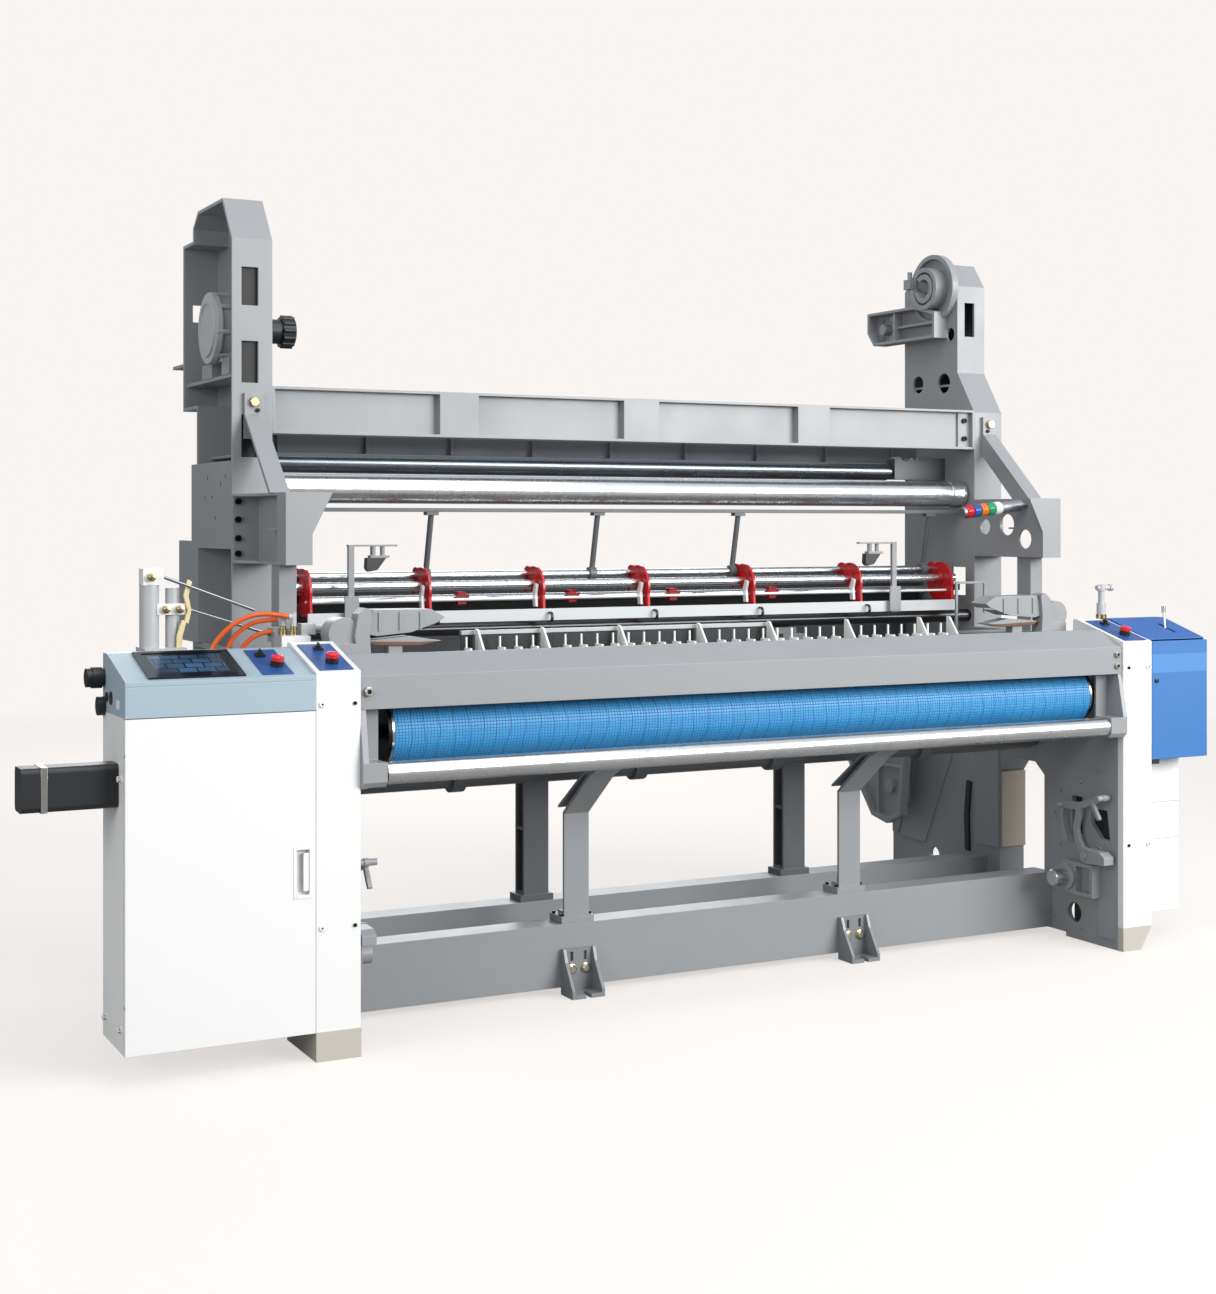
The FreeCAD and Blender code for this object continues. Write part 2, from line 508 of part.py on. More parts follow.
def left_tower():
    x_in, x_out = -GAP, -OUT
    web_line = [(750, FRAME_TOP), (750, 2188), (847, LEFT_TOP), (1117, LEFT_TOP), (1175, 2273), (1175, 2233),
                (1290, 2233), (1290, 1715), (1130, 1715), (1130, FRAME_TOP)]
    web = prism_x(web_line, x_in - T, x_in)
    skins = [strip([(750, FRAME_TOP), (750, 2188), (847, LEFT_TOP), (1117, LEFT_TOP), (1175, 2273)],
                   x_out, x_in, T),
             box(x_out, x_in, 1165, 1290, 2223, 2233), box(x_out, x_in, 1165, 1175, 2223, 2273),
             box(x_out, x_in, 1280, 1290, 1715, 2233), box(x_out, x_in, 1120, 1290, 1715, 1725),
             box(x_out, x_in, 1120, 1130, FRAME_TOP, 1725)]
    tower = join([web] + skins)
    shelves = [box(x_out + 8, x_in, 756, 1284, 1790, 1800), box(x_out + 40, x_in, 756, 1124, 1560, 1568),
               prism_x([(1290, 1856), (1432, 1856), (1432, 1866), (1290, 1866)], x_out + 4, x_in - 20),
               prism_x([(1290, 1790), (1380, 1856), (1290, 1856)], x_out + 30, x_out + 40),
               box(x_out + 6, x_out + 70, 800, 880, 1800, GEAR_Z - 92),
               box(x_out + 6, x_out + 40, 985, 1090, 1800, 1842),
               box(x_out, x_out + 8, 756, 1192, 1290, 1546), box(x_out, x_out + 8, 1120, 1192, 1290, 1300),
               box(x_out, x_in, 1130, 1340, FRAME_TOP, 1312)]
    tower = join([tower] + shelves)
    cuts = [box(x_out + 28, x_out + 78, 740, 770, z0, z1) for z0, z1 in
            ((1996, 2107), (1772, 1893), (1556, 1680))]
    cuts += [box(x_out + 28, x_out + 78, 1270, 1300, 1996, 2050),
             cyl_x(x_in - T - 1, x_in + 1, GEAR_Y, GEAR_Z, 40),
             box(x_out + 12, x_in - 12, 1142, 1328, FRAME_TOP - 1, 1300)]
    for y, z in ((820, 1500), (870, 1480), (1010, 1500), (960, 1440), (1040, 1440), (930, 1380)):
        cuts.append(cyl_x(x_out - 1, x_out + 9, y, z, 7))
    return tower.cut(join(cuts))


def right_tower():
    x_in, x_out = GAP, OUT
    line = [(750, FRAME_TOP), (750, 1758), (846, 1905), (846, 2216), (905, RIGHT_TOP), (1090, RIGHT_TOP),
            (1160, 2225), (1160, FRAME_TOP)]
    web = prism_x(line, x_in, x_in + T)
    skin = strip(line, x_in, x_out, T)
    tower = join([web, skin, box(x_in, x_out, 760, 1150, 1560, 1568), box(x_in, x_out, 856, 1150, 1860, 1868)])
    cuts = [cyl_x(x_in - 1, x_in + T + 1, 1078, 1876, 32), cyl_x(x_in - 1, x_in + T + 1, 925, 1872, 36),
            cyl_x(x_in - 1, x_in + T + 1, 888, 2046, 24), box(x_in + 32, x_in + 76, 836, 860, 2036, 2157),
            box(x_in - 1, x_in + T + 1, 800, 880, 1110, 1210)]
    return tower.cut(join(cuts))


tower_l, tower_r = left_tower(), right_tower()
save("tower_left", tower_l)
save("tower_right", tower_r)


def top_beam():
    y0 = TOWER_Y
    web = box(-GAP, GAP, y0 + 26, y0 + 34, TOPBEAM_Z0, TOPBEAM_Z1)
    flanges = [box(-GAP, GAP, y0, y0 + 90, TOPBEAM_Z1 - 8, TOPBEAM_Z1),
               box(-GAP, GAP, y0, y0 + 90, TOPBEAM_Z0, TOPBEAM_Z0 + 8)]
    pads = [box(x - 64, x + 64, y0, y0 + 30, TOPBEAM_Z0, TOPBEAM_Z1) for x in PAD_X]
    ends = [box(s * GAP - (8 if s > 0 else 0), s * GAP + (0 if s > 0 else 8), y0, y0 + 90,
                TOPBEAM_Z0, TOPBEAM_Z1) for s in (1, -1)]
    angle = box(GAP - 58, GAP - 8, y0 + 18, y0 + 26, TOPBEAM_Z0 + 8, TOPBEAM_Z1 - 8)
    return join([web] + flanges + pads + ends + [angle])


save("top_beam", top_beam())


def brace():
    """Channel brace from the tower front down to the shelf top (right side)."""
    line = [(TOWER_Y, 1742), (TOWER_Y - 12, 1742), (TOWER_Y - 12, 1680), (TOWER_Y - 258, SHELF_Z1),
            (TOWER_Y - 170, SHELF_Z1), (TOWER_Y, 1610)]
    plate = prism_x(line, GAP + 30, GAP + 86)
    inner = [(TOWER_Y - 1, 1690), (TOWER_Y - 6, 1674), (TOWER_Y - 238, SHELF_Z1 - 1), (TOWER_Y - 120, SHELF_Z1 - 1),
             (TOWER_Y - 1, 1560)]
    plate = plate.cut(prism_x(inner, GAP + 38, GAP + 87))
    return plate


braces = both(brace())


def shelf(sign):
    """Box bracket carried forward by each tower, with its front leg and gusset."""
    y1, y0 = TOWER_Y, SHELF_Y0
    flange = box(GAP, OUT, y1 - 10, y1, SHELF_Z0, SHELF_Z1)
    top = prism_z([(OUT, y1), (OUT, y1 - 30), (GAP + 76, y1 - 100), (GAP + 76, y0), (GAP, y0), (GAP, y1)],
                  SHELF_Z1 - 8, SHELF_Z1)
    low = prism_z([(OUT, y1), (OUT, y1 - 30), (GAP + 76, y1 - 100), (GAP + 76, y0), (GAP, y0), (GAP, y1)],
                  SHELF_Z0, SHELF_Z0 + 8)
    inner = box(GAP, GAP + 8, y0, y1, SHELF_Z0, SHELF_Z1)
    end = box(GAP, GAP + 76, y0, y0 + 8, SHELF_Z0, SHELF_Z1)
    mid = box(GAP + 8, GAP + 76, y0, y0 + 190, 1346, 1352)
    gusset = prism_y([(GAP, SHELF_Z1), (GAP - 58, SHELF_Z1), (GAP, 1335)], y0, y0 + 7)
    leg = box(GAP + 18, GAP + 68, 470, 540, FRAME_TOP, SHELF_Z0)
    leg = leg.cut(box(GAP + 26, GAP + 60, 478, 541, FRAME_TOP - 1, SHELF_Z0 - 8))
    shape = join([flange, top, low, inner, end, mid, gusset, leg])
    if sign < 0:
        wall = box(GAP + 34, GAP + 42, y0 + 80, y1 - 10, SHELF_Z0, SHELF_Z1)
        nose = box(GAP + 68, GAP + 76, y0, y0 + 80, SHELF_Z0, SHELF_Z1)
        shape = join([shape, wall, nose])
        return mirror(shape)
    holes = [cyl_x(GAP - 1, GAP + 9, 690, 1354, 27), cyl_x(GAP - 1, GAP + 9, 572, 1361, 37),
             cyl_x(GAP - 1, GAP + 9, 478, 1312, 33)]
    return shape.cut(join(holes))


save("tower_brackets", braces + [shelf(1), shelf(-1)])

# ---- pile-beam gearbox and handwheel (left), beam bearing (right) -----------------------------
XG0 = -OUT - 26.0       # outer face of the gearbox
gear = [cyl_x(XG0 + 14, -GAP - T, GEAR_Y, GEAR_Z, GEAR_R - 8), cyl_x(XG0 + 6, XG0 + 24, GEAR_Y, GEAR_Z, GEAR_R),
        cyl_x(XG0, XG0 + 6, GEAR_Y, GEAR_Z, GEAR_R - 20), cyl_x(-GAP - T - 12, -GAP - T, GEAR_Y, GEAR_Z, GEAR_R)]
for k in range(8):
    a = math.radians(45 * k + 10)
    gear.append(cyl_x(XG0 + 6, -GAP - T - 4, GEAR_Y + (GEAR_R - 6) * math.cos(a),
                      GEAR_Z + (GEAR_R - 6) * math.sin(a), 8))
gear.append(box(XG0 + 30, -GAP - T, 880, 1020, 1842, GEAR_Z - 60))
gear_body = join(gear).cut(cyl_x(XG0 + 40, -GAP - T + 1, GEAR_Y, GEAR_Z, 30))
gear_body = gear_body.cut(cyl_x(XG0 - 1, XG0 + 3, GEAR_Y, GEAR_Z, GEAR_R - 34))
boss = cyl_x(-GAP - T, -GAP + 30, GEAR_Y, GEAR_Z, 38).fuse(cyl_x(-GAP, -GAP + 34, GEAR_Y, GEAR_Z, 59))
boss = boss.cut(cyl_x(-GAP - T - 1, -GAP + 40, GEAR_Y, GEAR_Z, 16 + FIT)).removeSplitter()
save("gearbox", [gear_body, boss])
wheel = [cyl_x(-GAP - 80, -GAP + 118, GEAR_Y, GEAR_Z, 16), cyl_x(-GAP + 36, -GAP + 82, GEAR_Y, GEAR_Z, 37),
         cyl_x(-GAP + 80, -GAP + 120, GEAR_Y, GEAR_Z, WHEEL_R - 4)]
for k in range(12):
    a = math.radians(30 * k)
    wheel.append(cyl_x(-GAP + 82, -GAP + 118, GEAR_Y + (WHEEL_R - 5) * math.cos(a),
                       GEAR_Z + (WHEEL_R - 5) * math.sin(a), 7))
save("handwheel", join(wheel))


def beam_bearing():
    """Round flange on the tower web, split hub ring and the ribbed arm behind it."""
    x = GAP
    flange = cyl_x(x - 26, x, BEARING_Y, BEARING_Z, BEARING_R).cut(
        cyl_x(x - 27, x - 8, BEARING_Y, BEARING_Z, BEARING_R - 16))
    ring = cyl_x(x - 62, x - 8, BEARING_Y, BEARING_Z, 76).cut(cyl_x(x - 63, x - 14, BEARING_Y, BEARING_Z, 34))
    ring = ring.cut(cyl_x(x - 63, x - 40, BEARING_Y, BEARING_Z, 60).cut(cyl_x(x - 64, x - 39, BEARING_Y, BEARING_Z, 52)))
    mouth = prism_x([(BEARING_Y + 10, BEARING_Z + 20), (BEARING_Y + 90, BEARING_Z + 70),
                     (BEARING_Y + 90, BEARING_Z + 10), (BEARING_Y + 10, BEARING_Z - 20)], x - 63, x - 14)
    ring = ring.cut(mouth)
    y0, y1, z0, z1 = 905.0, 1318.0, 2034.0, 2158.0
    outline = [(y0, z0), (y1 - 40, z0), (y1, z0 + 50), (y1, z1), (y0 + 120, z1), (y0, z1 - 30)]
    arm = prism_x(outline, x - 58, x)
    inner = [(y0 + 12, z0 + 10), (y1 - 44, z0 + 10), (y1 - 10, z0 + 54), (y1 - 10, z1 - 10),
             (y0 + 124, z1 - 10), (y0 + 12, z1 - 40)]
    arm = arm.cut(prism_x(inner, x - 59, x - 16))
    ribs = [box(x - 54, x - 16, 1150, 1160, z0, z1), box(x - 44, x - 16, y0 + 10, 1150, 2088, 2096),
            cyl_x(x - 48, x - 16, 1235, 2092, 20), cyl_x(x - 40, x - 16, 1185, 2130, 9),
            cyl_x(x - 40, x - 16, 1190, 2056, 9)]
    clip = [box(x - 50, x - 20, 1062, 1100, 2226, 2262), cyl_z(2262, 2290, x - 35, 1082, 9)]
    return join([flange, ring, arm] + ribs + [join(clip + [box(x - 30, x, 1040, 1100, 2190, 2226)])])


bearing = beam_bearing()
for y, z in ((1205, 2128), (1270, 2128), (1205, 2060), (1270, 2062)):
    bearing = bearing.cut(cyl_x(GAP - 18, GAP + 1, y, z, 6))
save("beam_bearing", bearing)

# ---- rollers between the towers --------------------------------------------------------------
save("guide_roller", join([cyl_x(-GAP + 14, GAP - 66, GUIDE_Y, GUIDE_Z, GUIDE_R),
                           cyl_x(GAP - 66, GAP - 10, GUIDE_Y, GUIDE_Z, GUIDE_R + 3).cut(
                               cyl_x(GAP - 22, GAP - 19, GUIDE_Y, GUIDE_Z, 60).cut(
                                   cyl_x(GAP - 23, GAP - 18, GUIDE_Y, GUIDE_Z, GUIDE_R))),
                           cyl_x(-GAP + 2, GAP - 2, GUIDE_Y, GUIDE_Z, 16)]))
UPPER_X0, UPPER_X1 = -GAP + 60, 1032.0
save("upper_roller", join([cyl_x(UPPER_X0, UPPER_X1, UPPER_Y, UPPER_Z, UPPER_R),
                           cyl_x(UPPER_X1, UPPER_X1 + 12, UPPER_Y, UPPER_Z, UPPER_R - 6),
                           cyl_x(-GAP + 22, 1100, UPPER_Y, UPPER_Z, 13)]))
save("backrest_roller", join([cyl_x(-GAP + 40, GAP - 40, BACKREST_Y, BACKREST_Z, BACKREST_R),
                              cyl_x(-GAP + 8, GAP - 8, BACKREST_Y, BACKREST_Z, 20)]))


def bearing_block(x0, x1, y, z, r_out, r_in):
    return cyl_x(x0, x1, y, z, r_out).cut(cyl_x(x0 - 1, x1 + 1, y, z, r_in + FIT))


blocks = [bearing_block(-GAP, -GAP + 12, GUIDE_Y, GUIDE_Z, 34, 16),
          bearing_block(GAP - 8, GAP, GUIDE_Y, GUIDE_Z, 34, 16),
          bearing_block(-GAP, -GAP + 50, UPPER_Y, UPPER_Z, 26, 13),
          bearing_block(-GAP, -GAP + 34, BACKREST_Y, BACKREST_Z, 40, 20),
          bearing_block(GAP - 34, GAP, BACKREST_Y, BACKREST_Z, 40, 20)]
# toothed slide bracket that carries the free end of the upper roller
teeth = [(1058, 1522), (1280, 1522), (1280, 1600), (1180, 1600), (1172, 1588), (1160, 1600), (1148, 1588),
         (1136, 1600), (1118, 1588), (1096, 1588), (1082, 1604), (1058, 1596)]
slide = prism_y(teeth, UPPER_Y - 22, UPPER_Y + 22).cut(box(1130, 1266, UPPER_Y - 12, UPPER_Y + 12, 1500, 1620))
slide = slide.cut(cyl_x(1057, 1131, UPPER_Y, UPPER_Z, 13 + FIT))
blocks.append(slide)


# ---- warp tension assembly ---------------------------------------------------------------------
LOW_TUBE = (790.0, 1040.0, 22.0)
UP_TUBE = (848.0, 1204.0, 13.0)
LEVER = (762.0, 1132.0, 4.0)
REAR_TUBE = (960.0, 1128.0, 12.0)


def tension_plate(x, wide):
    """Crescent plate: a round back with a claw reaching down to the flat bar."""
    y, z = TENSION_Y, 1160.0
    disc = cyl_x(x - 4, x + 4, y, z, 71)
    claw = prism_x([(730, 1086), (768, 1086), (778, 1150), (732, 1160)], x - 4, x + 4)
    horn = cyl_x(x - 4, x + 4, UP_TUBE[0], UP_TUBE[1], 27)
    shape = join([disc, claw, horn])
    if not wide:
        shape = shape.cut(cyl_x(x - 5, x + 5, y + 26, z - 42, 52))
    shape = join([shape, cyl_x(x - 9, x + 9, TENSION_Y, TENSION_Z, TUBE_R + 9)])
    bores = [cyl_x(x - 10, x + 10, TENSION_Y, TENSION_Z, TUBE_R + FIT),
             cyl_x(x - 10, x + 10, UP_TUBE[0], UP_TUBE[1], UP_TUBE[2]),
             cyl_x(x - 10, x + 10, LEVER[0], LEVER[1], LEVER[2] + FIT)]
    return shape.cut(join(bores))


plates = [tension_plate(x, k in (0, len(PLATE_X) - 1)) for k, x in enumerate(PLATE_X)]
RED_X = (-600.0, -210.0, 168.0, 560.0)
for x in RED_X:
    clamp = join([box(x - 14, x + 14, 942, 978, 1108, 1148), box(x - 22, x + 22, 935, 942, 1118, 1140)])
    plates.append(clamp.cut(cyl_x(x - 15, x + 15, REAR_TUBE[0], REAR_TUBE[1], REAR_TUBE[2])))
save("tension_plates", plates)
rails = [cyl_x(PLATE_X[0] - 20, PLATE_X[-1] + 20, UP_TUBE[0], UP_TUBE[1], UP_TUBE[2]),
         cyl_x(-GAP, GAP, LOW_TUBE[0], LOW_TUBE[1], LOW_TUBE[2]),
         cyl_x(-GAP, GAP, REAR_TUBE[0], REAR_TUBE[1], REAR_TUBE[2])]
save("guide_tube", cyl_x(PLATE_X[0] - 60, PLATE_X[-1] + 60, TENSION_Y, TENSION_Z, TUBE_R))
bar = box(PLATE_X[0] - 12, PLATE_X[-1] + 12, BAR_Y, BAR_Y + 8, BAR_Z0, BAR_Z1)
save("tension_rails", rails + [bar])
levers = [cyl_x(PLATE_X[0] - 8, PLATE_X[-1] + 8, LEVER[0], LEVER[1], LEVER[2])]
for x in PLATE_X[1:-1]:
    arm = prism_x([(748, 1106), (768, 1106), (772, 1150), (758, 1178), (744, 1174), (752, 1146)], x - 21, x - 13)
    levers.append(join([arm, cyl_x(x - 24, x - 10, LEVER[0], LEVER[1], 9)]))
save("tension_levers", join(levers))


def hook(x):
    """Black spring hook round the flat bar."""
    ring = cyl_x(x - 4, x + 4, BAR_Y - 6, 1074, 17).cut(cyl_x(x - 5, x + 5, BAR_Y - 6, 1074, 12))
    return ring.cut(box(x - 5, x + 5, BAR_Y, BAR_Y + 60, 1040, 1110))


hooks = [hook(x + 14) for x in PLATE_X[1:-1]]
for sign in (1, -1):
    xa = PLATE_X[-1] + 4 if sign > 0 else PLATE_X[0] - 4
    xb = sign * GAP
    lo, hi = min(xa, xb), max(xa, xb)
    hooks.append(box(lo, hi, 832, 846, 1128, 1150))
save("bar_hooks", hooks)


def strut(x):
    low = (x, UP_TUBE[0] + 3, UP_TUBE[1] + 10)
    top = (x + 4, GUIDE_Y - 6, 1400)
    stem = rod(low, top, 9)
    clamp = cyl_x(x - 14, x + 9, UP_TUBE[0], UP_TUBE[1], 21)
    cap = box(x - 16, x + 24, GUIDE_Y - 18, GUIDE_Y + 8, 1390, 1400)
    return join([stem.cut(box(x - 50, x + 50, 700, 900, 1396, 1500)), clamp, cap]).cut(
        cyl_x(x - 20, x + 20, UP_TUBE[0], UP_TUBE[1], UP_TUBE[2]))


STRUT_X = (-760.0, -186.0, 341.0, 1128.0)
save("roller_brackets", blocks + [strut(x) for x in STRUT_X])


def sensor_bracket(sign):
    """Angle bracket clamped on the flat bar with a small sensor head hanging from its arm."""
    x = -1052.0 if sign < 0 else 906.0
    d = 1 if sign < 0 else -1
    lo = min(x, x + d * 145)
    post = box(x - 9, x + 9, BAR_Y - 12, BAR_Y, 1062, 1302)
    cross_arm = box(lo - (9 if sign < 0 else 0), lo + 145 + (0 if sign < 0 else 9), BAR_Y - 12, BAR_Y + 6, 1296, 1302)
    clamp_pad = box(x - 22, x + 22, BAR_Y - 18, BAR_Y - 12, 1066, 1150)
    xm = x + d * 84
    head = [cyl_z(1270, 1296, xm - 14, BAR_Y - 3, 8), cyl_z(1270, 1296, xm + 16, BAR_Y - 3, 7),
            box(xm - 26, xm + 34, BAR_Y - 16, BAR_Y + 8, 1262, 1270),
            prism_y([(xm - 36, 1262), (xm + 24, 1262), (xm - 4, 1228), (xm - 30, 1222), (xm - 38, 1232)],
                    BAR_Y - 14, BAR_Y + 6)]
    return join([post, cross_arm, clamp_pad] + head)


save("sensor_brackets", [sensor_bracket(-1), sensor_bracket(1)])

# ---- sley, race and reed -----------------------------------------------------------------------
RACE_Y0, RACE_Y1, RACE_Z = 248.0, 356.0, 992.0
sley = [cyl_x(-GAP - 14, GAP + 14, SLEY_Y, SLEY_Z, 25), cyl_x(-GAP + 30, GAP - 30, SLEY_Y, SLEY_Z, 34),
        box(-SLEY_HALF, SLEY_HALF, RACE_Y0 + 20, RACE_Y1, 950, RACE_Z)]
for x in (-840, -250, 230, 800):
    sley.append(prism_x([(SLEY_Y - 34, SLEY_Z), (SLEY_Y + 34, SLEY_Z), (RACE_Y1, 955), (RACE_Y0 + 30, 955)], x - 10, x + 10))
    sley.append(cyl_x(x - 20, x + 20, SLEY_Y, SLEY_Z, 46))
save("sley", join(sley))
fin_shape = [(RACE_Y0 + 16, RACE_Z), (RACE_Y1 - 20, RACE_Z), (RACE_Y1 - 22, 1066), (RACE_Y1 - 36, 1064)]
fins = [prism_x(fin_shape, x - 3, x + 3) for x in FIN_X]
race = list(fins)
n = int(2 * SLEY_HALF / PRONG_PITCH)
for k in range(n):
    x = -SLEY_HALF + (k + 0.5) * PRONG_PITCH
    if min(abs(x - f) for f in FIN_X) < 14:
        continue
    guide = join([box(x - 20, x + 20, RACE_Y0, RACE_Y0 + 42, RACE_Z, RACE_Z + 14),
                  box(x - 3, x + 3, RACE_Y0 + 18, RACE_Y0 + 62, RACE_Z, RACE_Z + 24),
                  box(x - 2, x + 2, RACE_Y0 + 50, RACE_Y0 + 56, RACE_Z, 1046)])
    race.append(guide.cut(join(fins)))
save("race_guides", race)
REED_X0, REED_X1 = -856.0, 166.0
reed = [box(REED_X0, REED_X1, RACE_Y1 - 14, RACE_Y1 - 1, 1050, 1060),
        box(REED_X0, REED_X0 + 6, RACE_Y1 - 10, RACE_Y1 - 5, RACE_Z, 1050),
        box(REED_X1 - 6, REED_X1, RACE_Y1 - 10, RACE_Y1 - 5, RACE_Z, 1050),
        box(REED_X0, REED_X1, RACE_Y1 - 8.5, RACE_Y1 - 6.5, RACE_Z, 1051)]
save("reed", join(reed))


# ---- rapier heads beside the race ---------------------------------------------------------------
def deck():
    """Flat deck on the side frame behind the end of the breast beam."""
    return box(SLEY_HALF + 62, GAP, 190, 420, 992, 1000)


def rapier_head():
    """Cast guide housing: side cheek, ribbed cover with a curved lower edge, lens guide below."""
    cover = [(940, 1106), (980, 1128), (1150, 1130), (1176, 1066), (1140, 1058), (1040, 1066), (960, 1092)]
    body = prism_y(cover, 262, 340)
    scoop = prism_y([(960, 1088), (1160, 1060), (1150, 1112), (1000, 1112)], 270, 341)
    rods_up = [box(x, x + 5, 258, 262, 1072, 1122) for x in (1010, 1070, 1130)]
    clamp_pad = prism_y([(1160, 1000), (1196, 1000), (1206, 1060), (1196, 1120), (1176, 1136), (1158, 1130), (1164, 1066)],
                     250, 300)
    drum = cyl_y(262, 330, 1232, 1066, 44)
    base_pad = box(1196, 1262, 250, 320, 1000, 1040)
    under = prism_y([(950, 1040), (1010, 1030), (1140, 1034), (1160, 1046), (1040, 1056)], 268, 322)
    prop = box(1060, 1100, 276, 310, 1000, 1034)
    return [join([body.cut(scoop)] + rods_up + [clamp_pad, drum, base_pad]), join([under, prop])]


decks = both(deck())
heads = []
for casting in rapier_head():
    heads.extend(both(casting))
guard = join([box(1052, 1060, 560, 568, 1000, 1168), box(1052, 1180, 560, 568, 1160, 1168),
              box(1172, 1180, 560, 568, 1060, 1168), box(1040, GAP, 552, 576, 992, 1000)])
save("rapier_heads", decks + heads + [guard])

# ---- signal lamp ---------------------------------------------------------------------------------
LAMP_Y, LAMP_Z, LAMP_R, LAMP_RISE = 470.0, 1402.0, 22.0, 5.6
LAMP_X0, LENS_W = 1006.0, 30.0


def lamp():
    """Signal lamp lying along the machine: end cap, five lenses, a body and its bracket."""
    x = LAMP_X0
    pieces = [cyl_x(x, x + 12, LAMP_Y, LAMP_Z, LAMP_R - 4)]
    for k in range(5):
        a = x + 12 + LENS_W * k
        lens = cyl_x(a, a + LENS_W - 4, LAMP_Y, LAMP_Z, LAMP_R)
        pieces.append(join([lens, cyl_x(a + LENS_W - 4, a + LENS_W, LAMP_Y, LAMP_Z, LAMP_R - 3)]))
    body = x + 12 + 5 * LENS_W
    pieces.append(join([cyl_x(body, body + 86, LAMP_Y, LAMP_Z, LAMP_R - 2),
                        cyl_x(body + 86, GAP + 30, LAMP_Y, LAMP_Z, 8)]))
    turned = []
    for piece in pieces:
        piece.rotate(V(x, LAMP_Y, LAMP_Z), V(0, 1, 0), -LAMP_RISE)
        turned.append(piece.cut(box(GAP, OUT, SHELF_Y0, TOWER_Y, SHELF_Z0, SHELF_Z1 + 40)))
    return turned


save("signal_lamp", lamp())

# ---- left side equipment ---------------------------------------------------------------------------
guard_box = box(GUARD_TIP, CX0, 66, 150, 668, 776)
guard_box = guard_box.makeFillet(14, [e for e in guard_box.Edges if e.BoundBox.XLength > 100])
guard_box = guard_box.cut(box(GUARD_TIP + 4, CX0 + 1, 72, 144, 674, 770))
plug = [cyl_x(-1925, -1910, 232, 976, 24), cyl_x(-1911, -1886, 232, 976, 27), cyl_x(-1890, CX0, 232, 976, 22),
        cyl_x(-1898, CX0, 225, 905, 24), cyl_x(CX0 - 4, CX0, 190, 930, 12)]
save("guard_box", [guard_box, join(plug[:3]), plug[3], plug[4]])
AX, AY = -1700.0, 500.0
unit = [box(AX - 20, -FRAME_X1, 440, 560, 988, 1000), box(AX - 24, AX + 90, 450, 550, 1000, 1030),
        cyl_z(1030, 1200, AX, AY, 26), box(AX - 20, AX + 32, 478, 522, 1200, 1240),
        cyl_z(1030, 1190, AX + 62, AY, 18), box(AX + 20, AX + 100, 480, 520, 1120, 1146)]
unit += [box(-1612, -1478, 336, 450, 940, 952), box(-1612, -1478, 440, 450, 940, 988)]
BX = -1345.0
block = [box(BX - 38, BX + 36, 330, 400, 1000, 1062), box(BX + 20, BX + 60, 344, 380, 1062, 1092),
         cyl_x(BX + 60, -GAP + 36, 362, 1076, 9), cyl_z(1062, 1122, BX, 352, 8), cyl_x(BX - 15, BX, 352, 1112, 8),
         cyl_z(1062, 1113, BX - 23, 372, 8), cyl_x(BX - 39, BX - 23, 372, 1104, 8),
         box(BX - 42, BX + 4, 380, 404, 1000, 1080), cyl_x(BX - 47, BX - 42, 392, 1072, 8),
         box(BX - 42, BX + 4, 404, 452, 1040, 1080)]
TX, TY, TZ = OUT - 12.0, 222.0, COLUMN_TOP + SLOPE_RISE
tee = [cyl_z(TZ, TZ + 52, TX, TY, 15), cyl_z(TZ + 52, TZ + 92, TX, TY, 10), cyl_z(TZ + 92, TZ + 112, TX, TY, 13),
       cyl_x(TX - 20, TX + 46, TY, TZ + 102, 8), cyl_x(TX + 34, TX + 46, TY, TZ + 102, 11)]
air_unit, hose_block, air_tee = join(unit), join(block), join(tee)
rods = []
for y in (494, 508):
    rods.append(rod((AX + 30, y - 6, 1222), (-1432, y - 74, 1128), 4))
    rods.append(rod((AX + 98, y - 14, 1133), (BX - 40, y - 74, 1060), 4))
save("air_units", [air_unit, hose_block, air_tee])
save("weft_rods", [one.cut(air_unit).cut(hose_block) for one in rods])
hose_routes = [
    [(-1360, 352, 1112), (-1420, 354, 1125), (-1488, 358, 1110), (-1544, 363, 1068), (-1577, 367, 1012),
     (-1586, 368, 952)],
    [(-1384, 372, 1104), (-1436, 374, 1104), (-1488, 378, 1078), (-1525, 382, 1028), (-1540, 385, 952)],
    [(-1392, 392, 1072), (-1434, 394, 1066), (-1470, 397, 1036), (-1492, 400, 996), (-1498, 402, 952)]]
save("orange_hoses", [hose(route, HOSE_R) for route in hose_routes])

# ---- right side equipment --------------------------------------------------------------------------
DX0 = OUT
DX1 = DX0 + DRIVE_W
LEVER_X, LEVER_Y, LEVER_Z = 1563.0, 108.0, 985.0
prof = [(14, DRIVE_Z0), (14, DRIVE_Z1), (196, 1050), (236, 1050), (236, DRIVE_Z0)]
hol = [(13, DRIVE_Z0 + 3), (13, DRIVE_Z1 - 3), (196, 1047), (233, 1047), (233, DRIVE_Z0 + 3)]
drive = prism_x(prof, DX0, DX1).cut(prism_x(hol, DX0 + 3, DX1 - 3))
slot = box(LEVER_X - 5.5, LEVER_X + 5.5, 66, 150, -60, 20)
drive = drive.cut(box(DX0 - 1, DX1 + 1, 13, 14.5, 0, 2000))
drive = drive.cut(on_slope(slot, DRIVE_Z1, math.degrees(math.atan2(58, 182))))
ears = [box(LEVER_X - 15, LEVER_X - 9, 94, 122, 972, 996), box(LEVER_X + 9, LEVER_X + 15, 94, 122, 972, 996),
        box(LEVER_X - 15, DX1 - 3, 94, 122, 968, 972)]
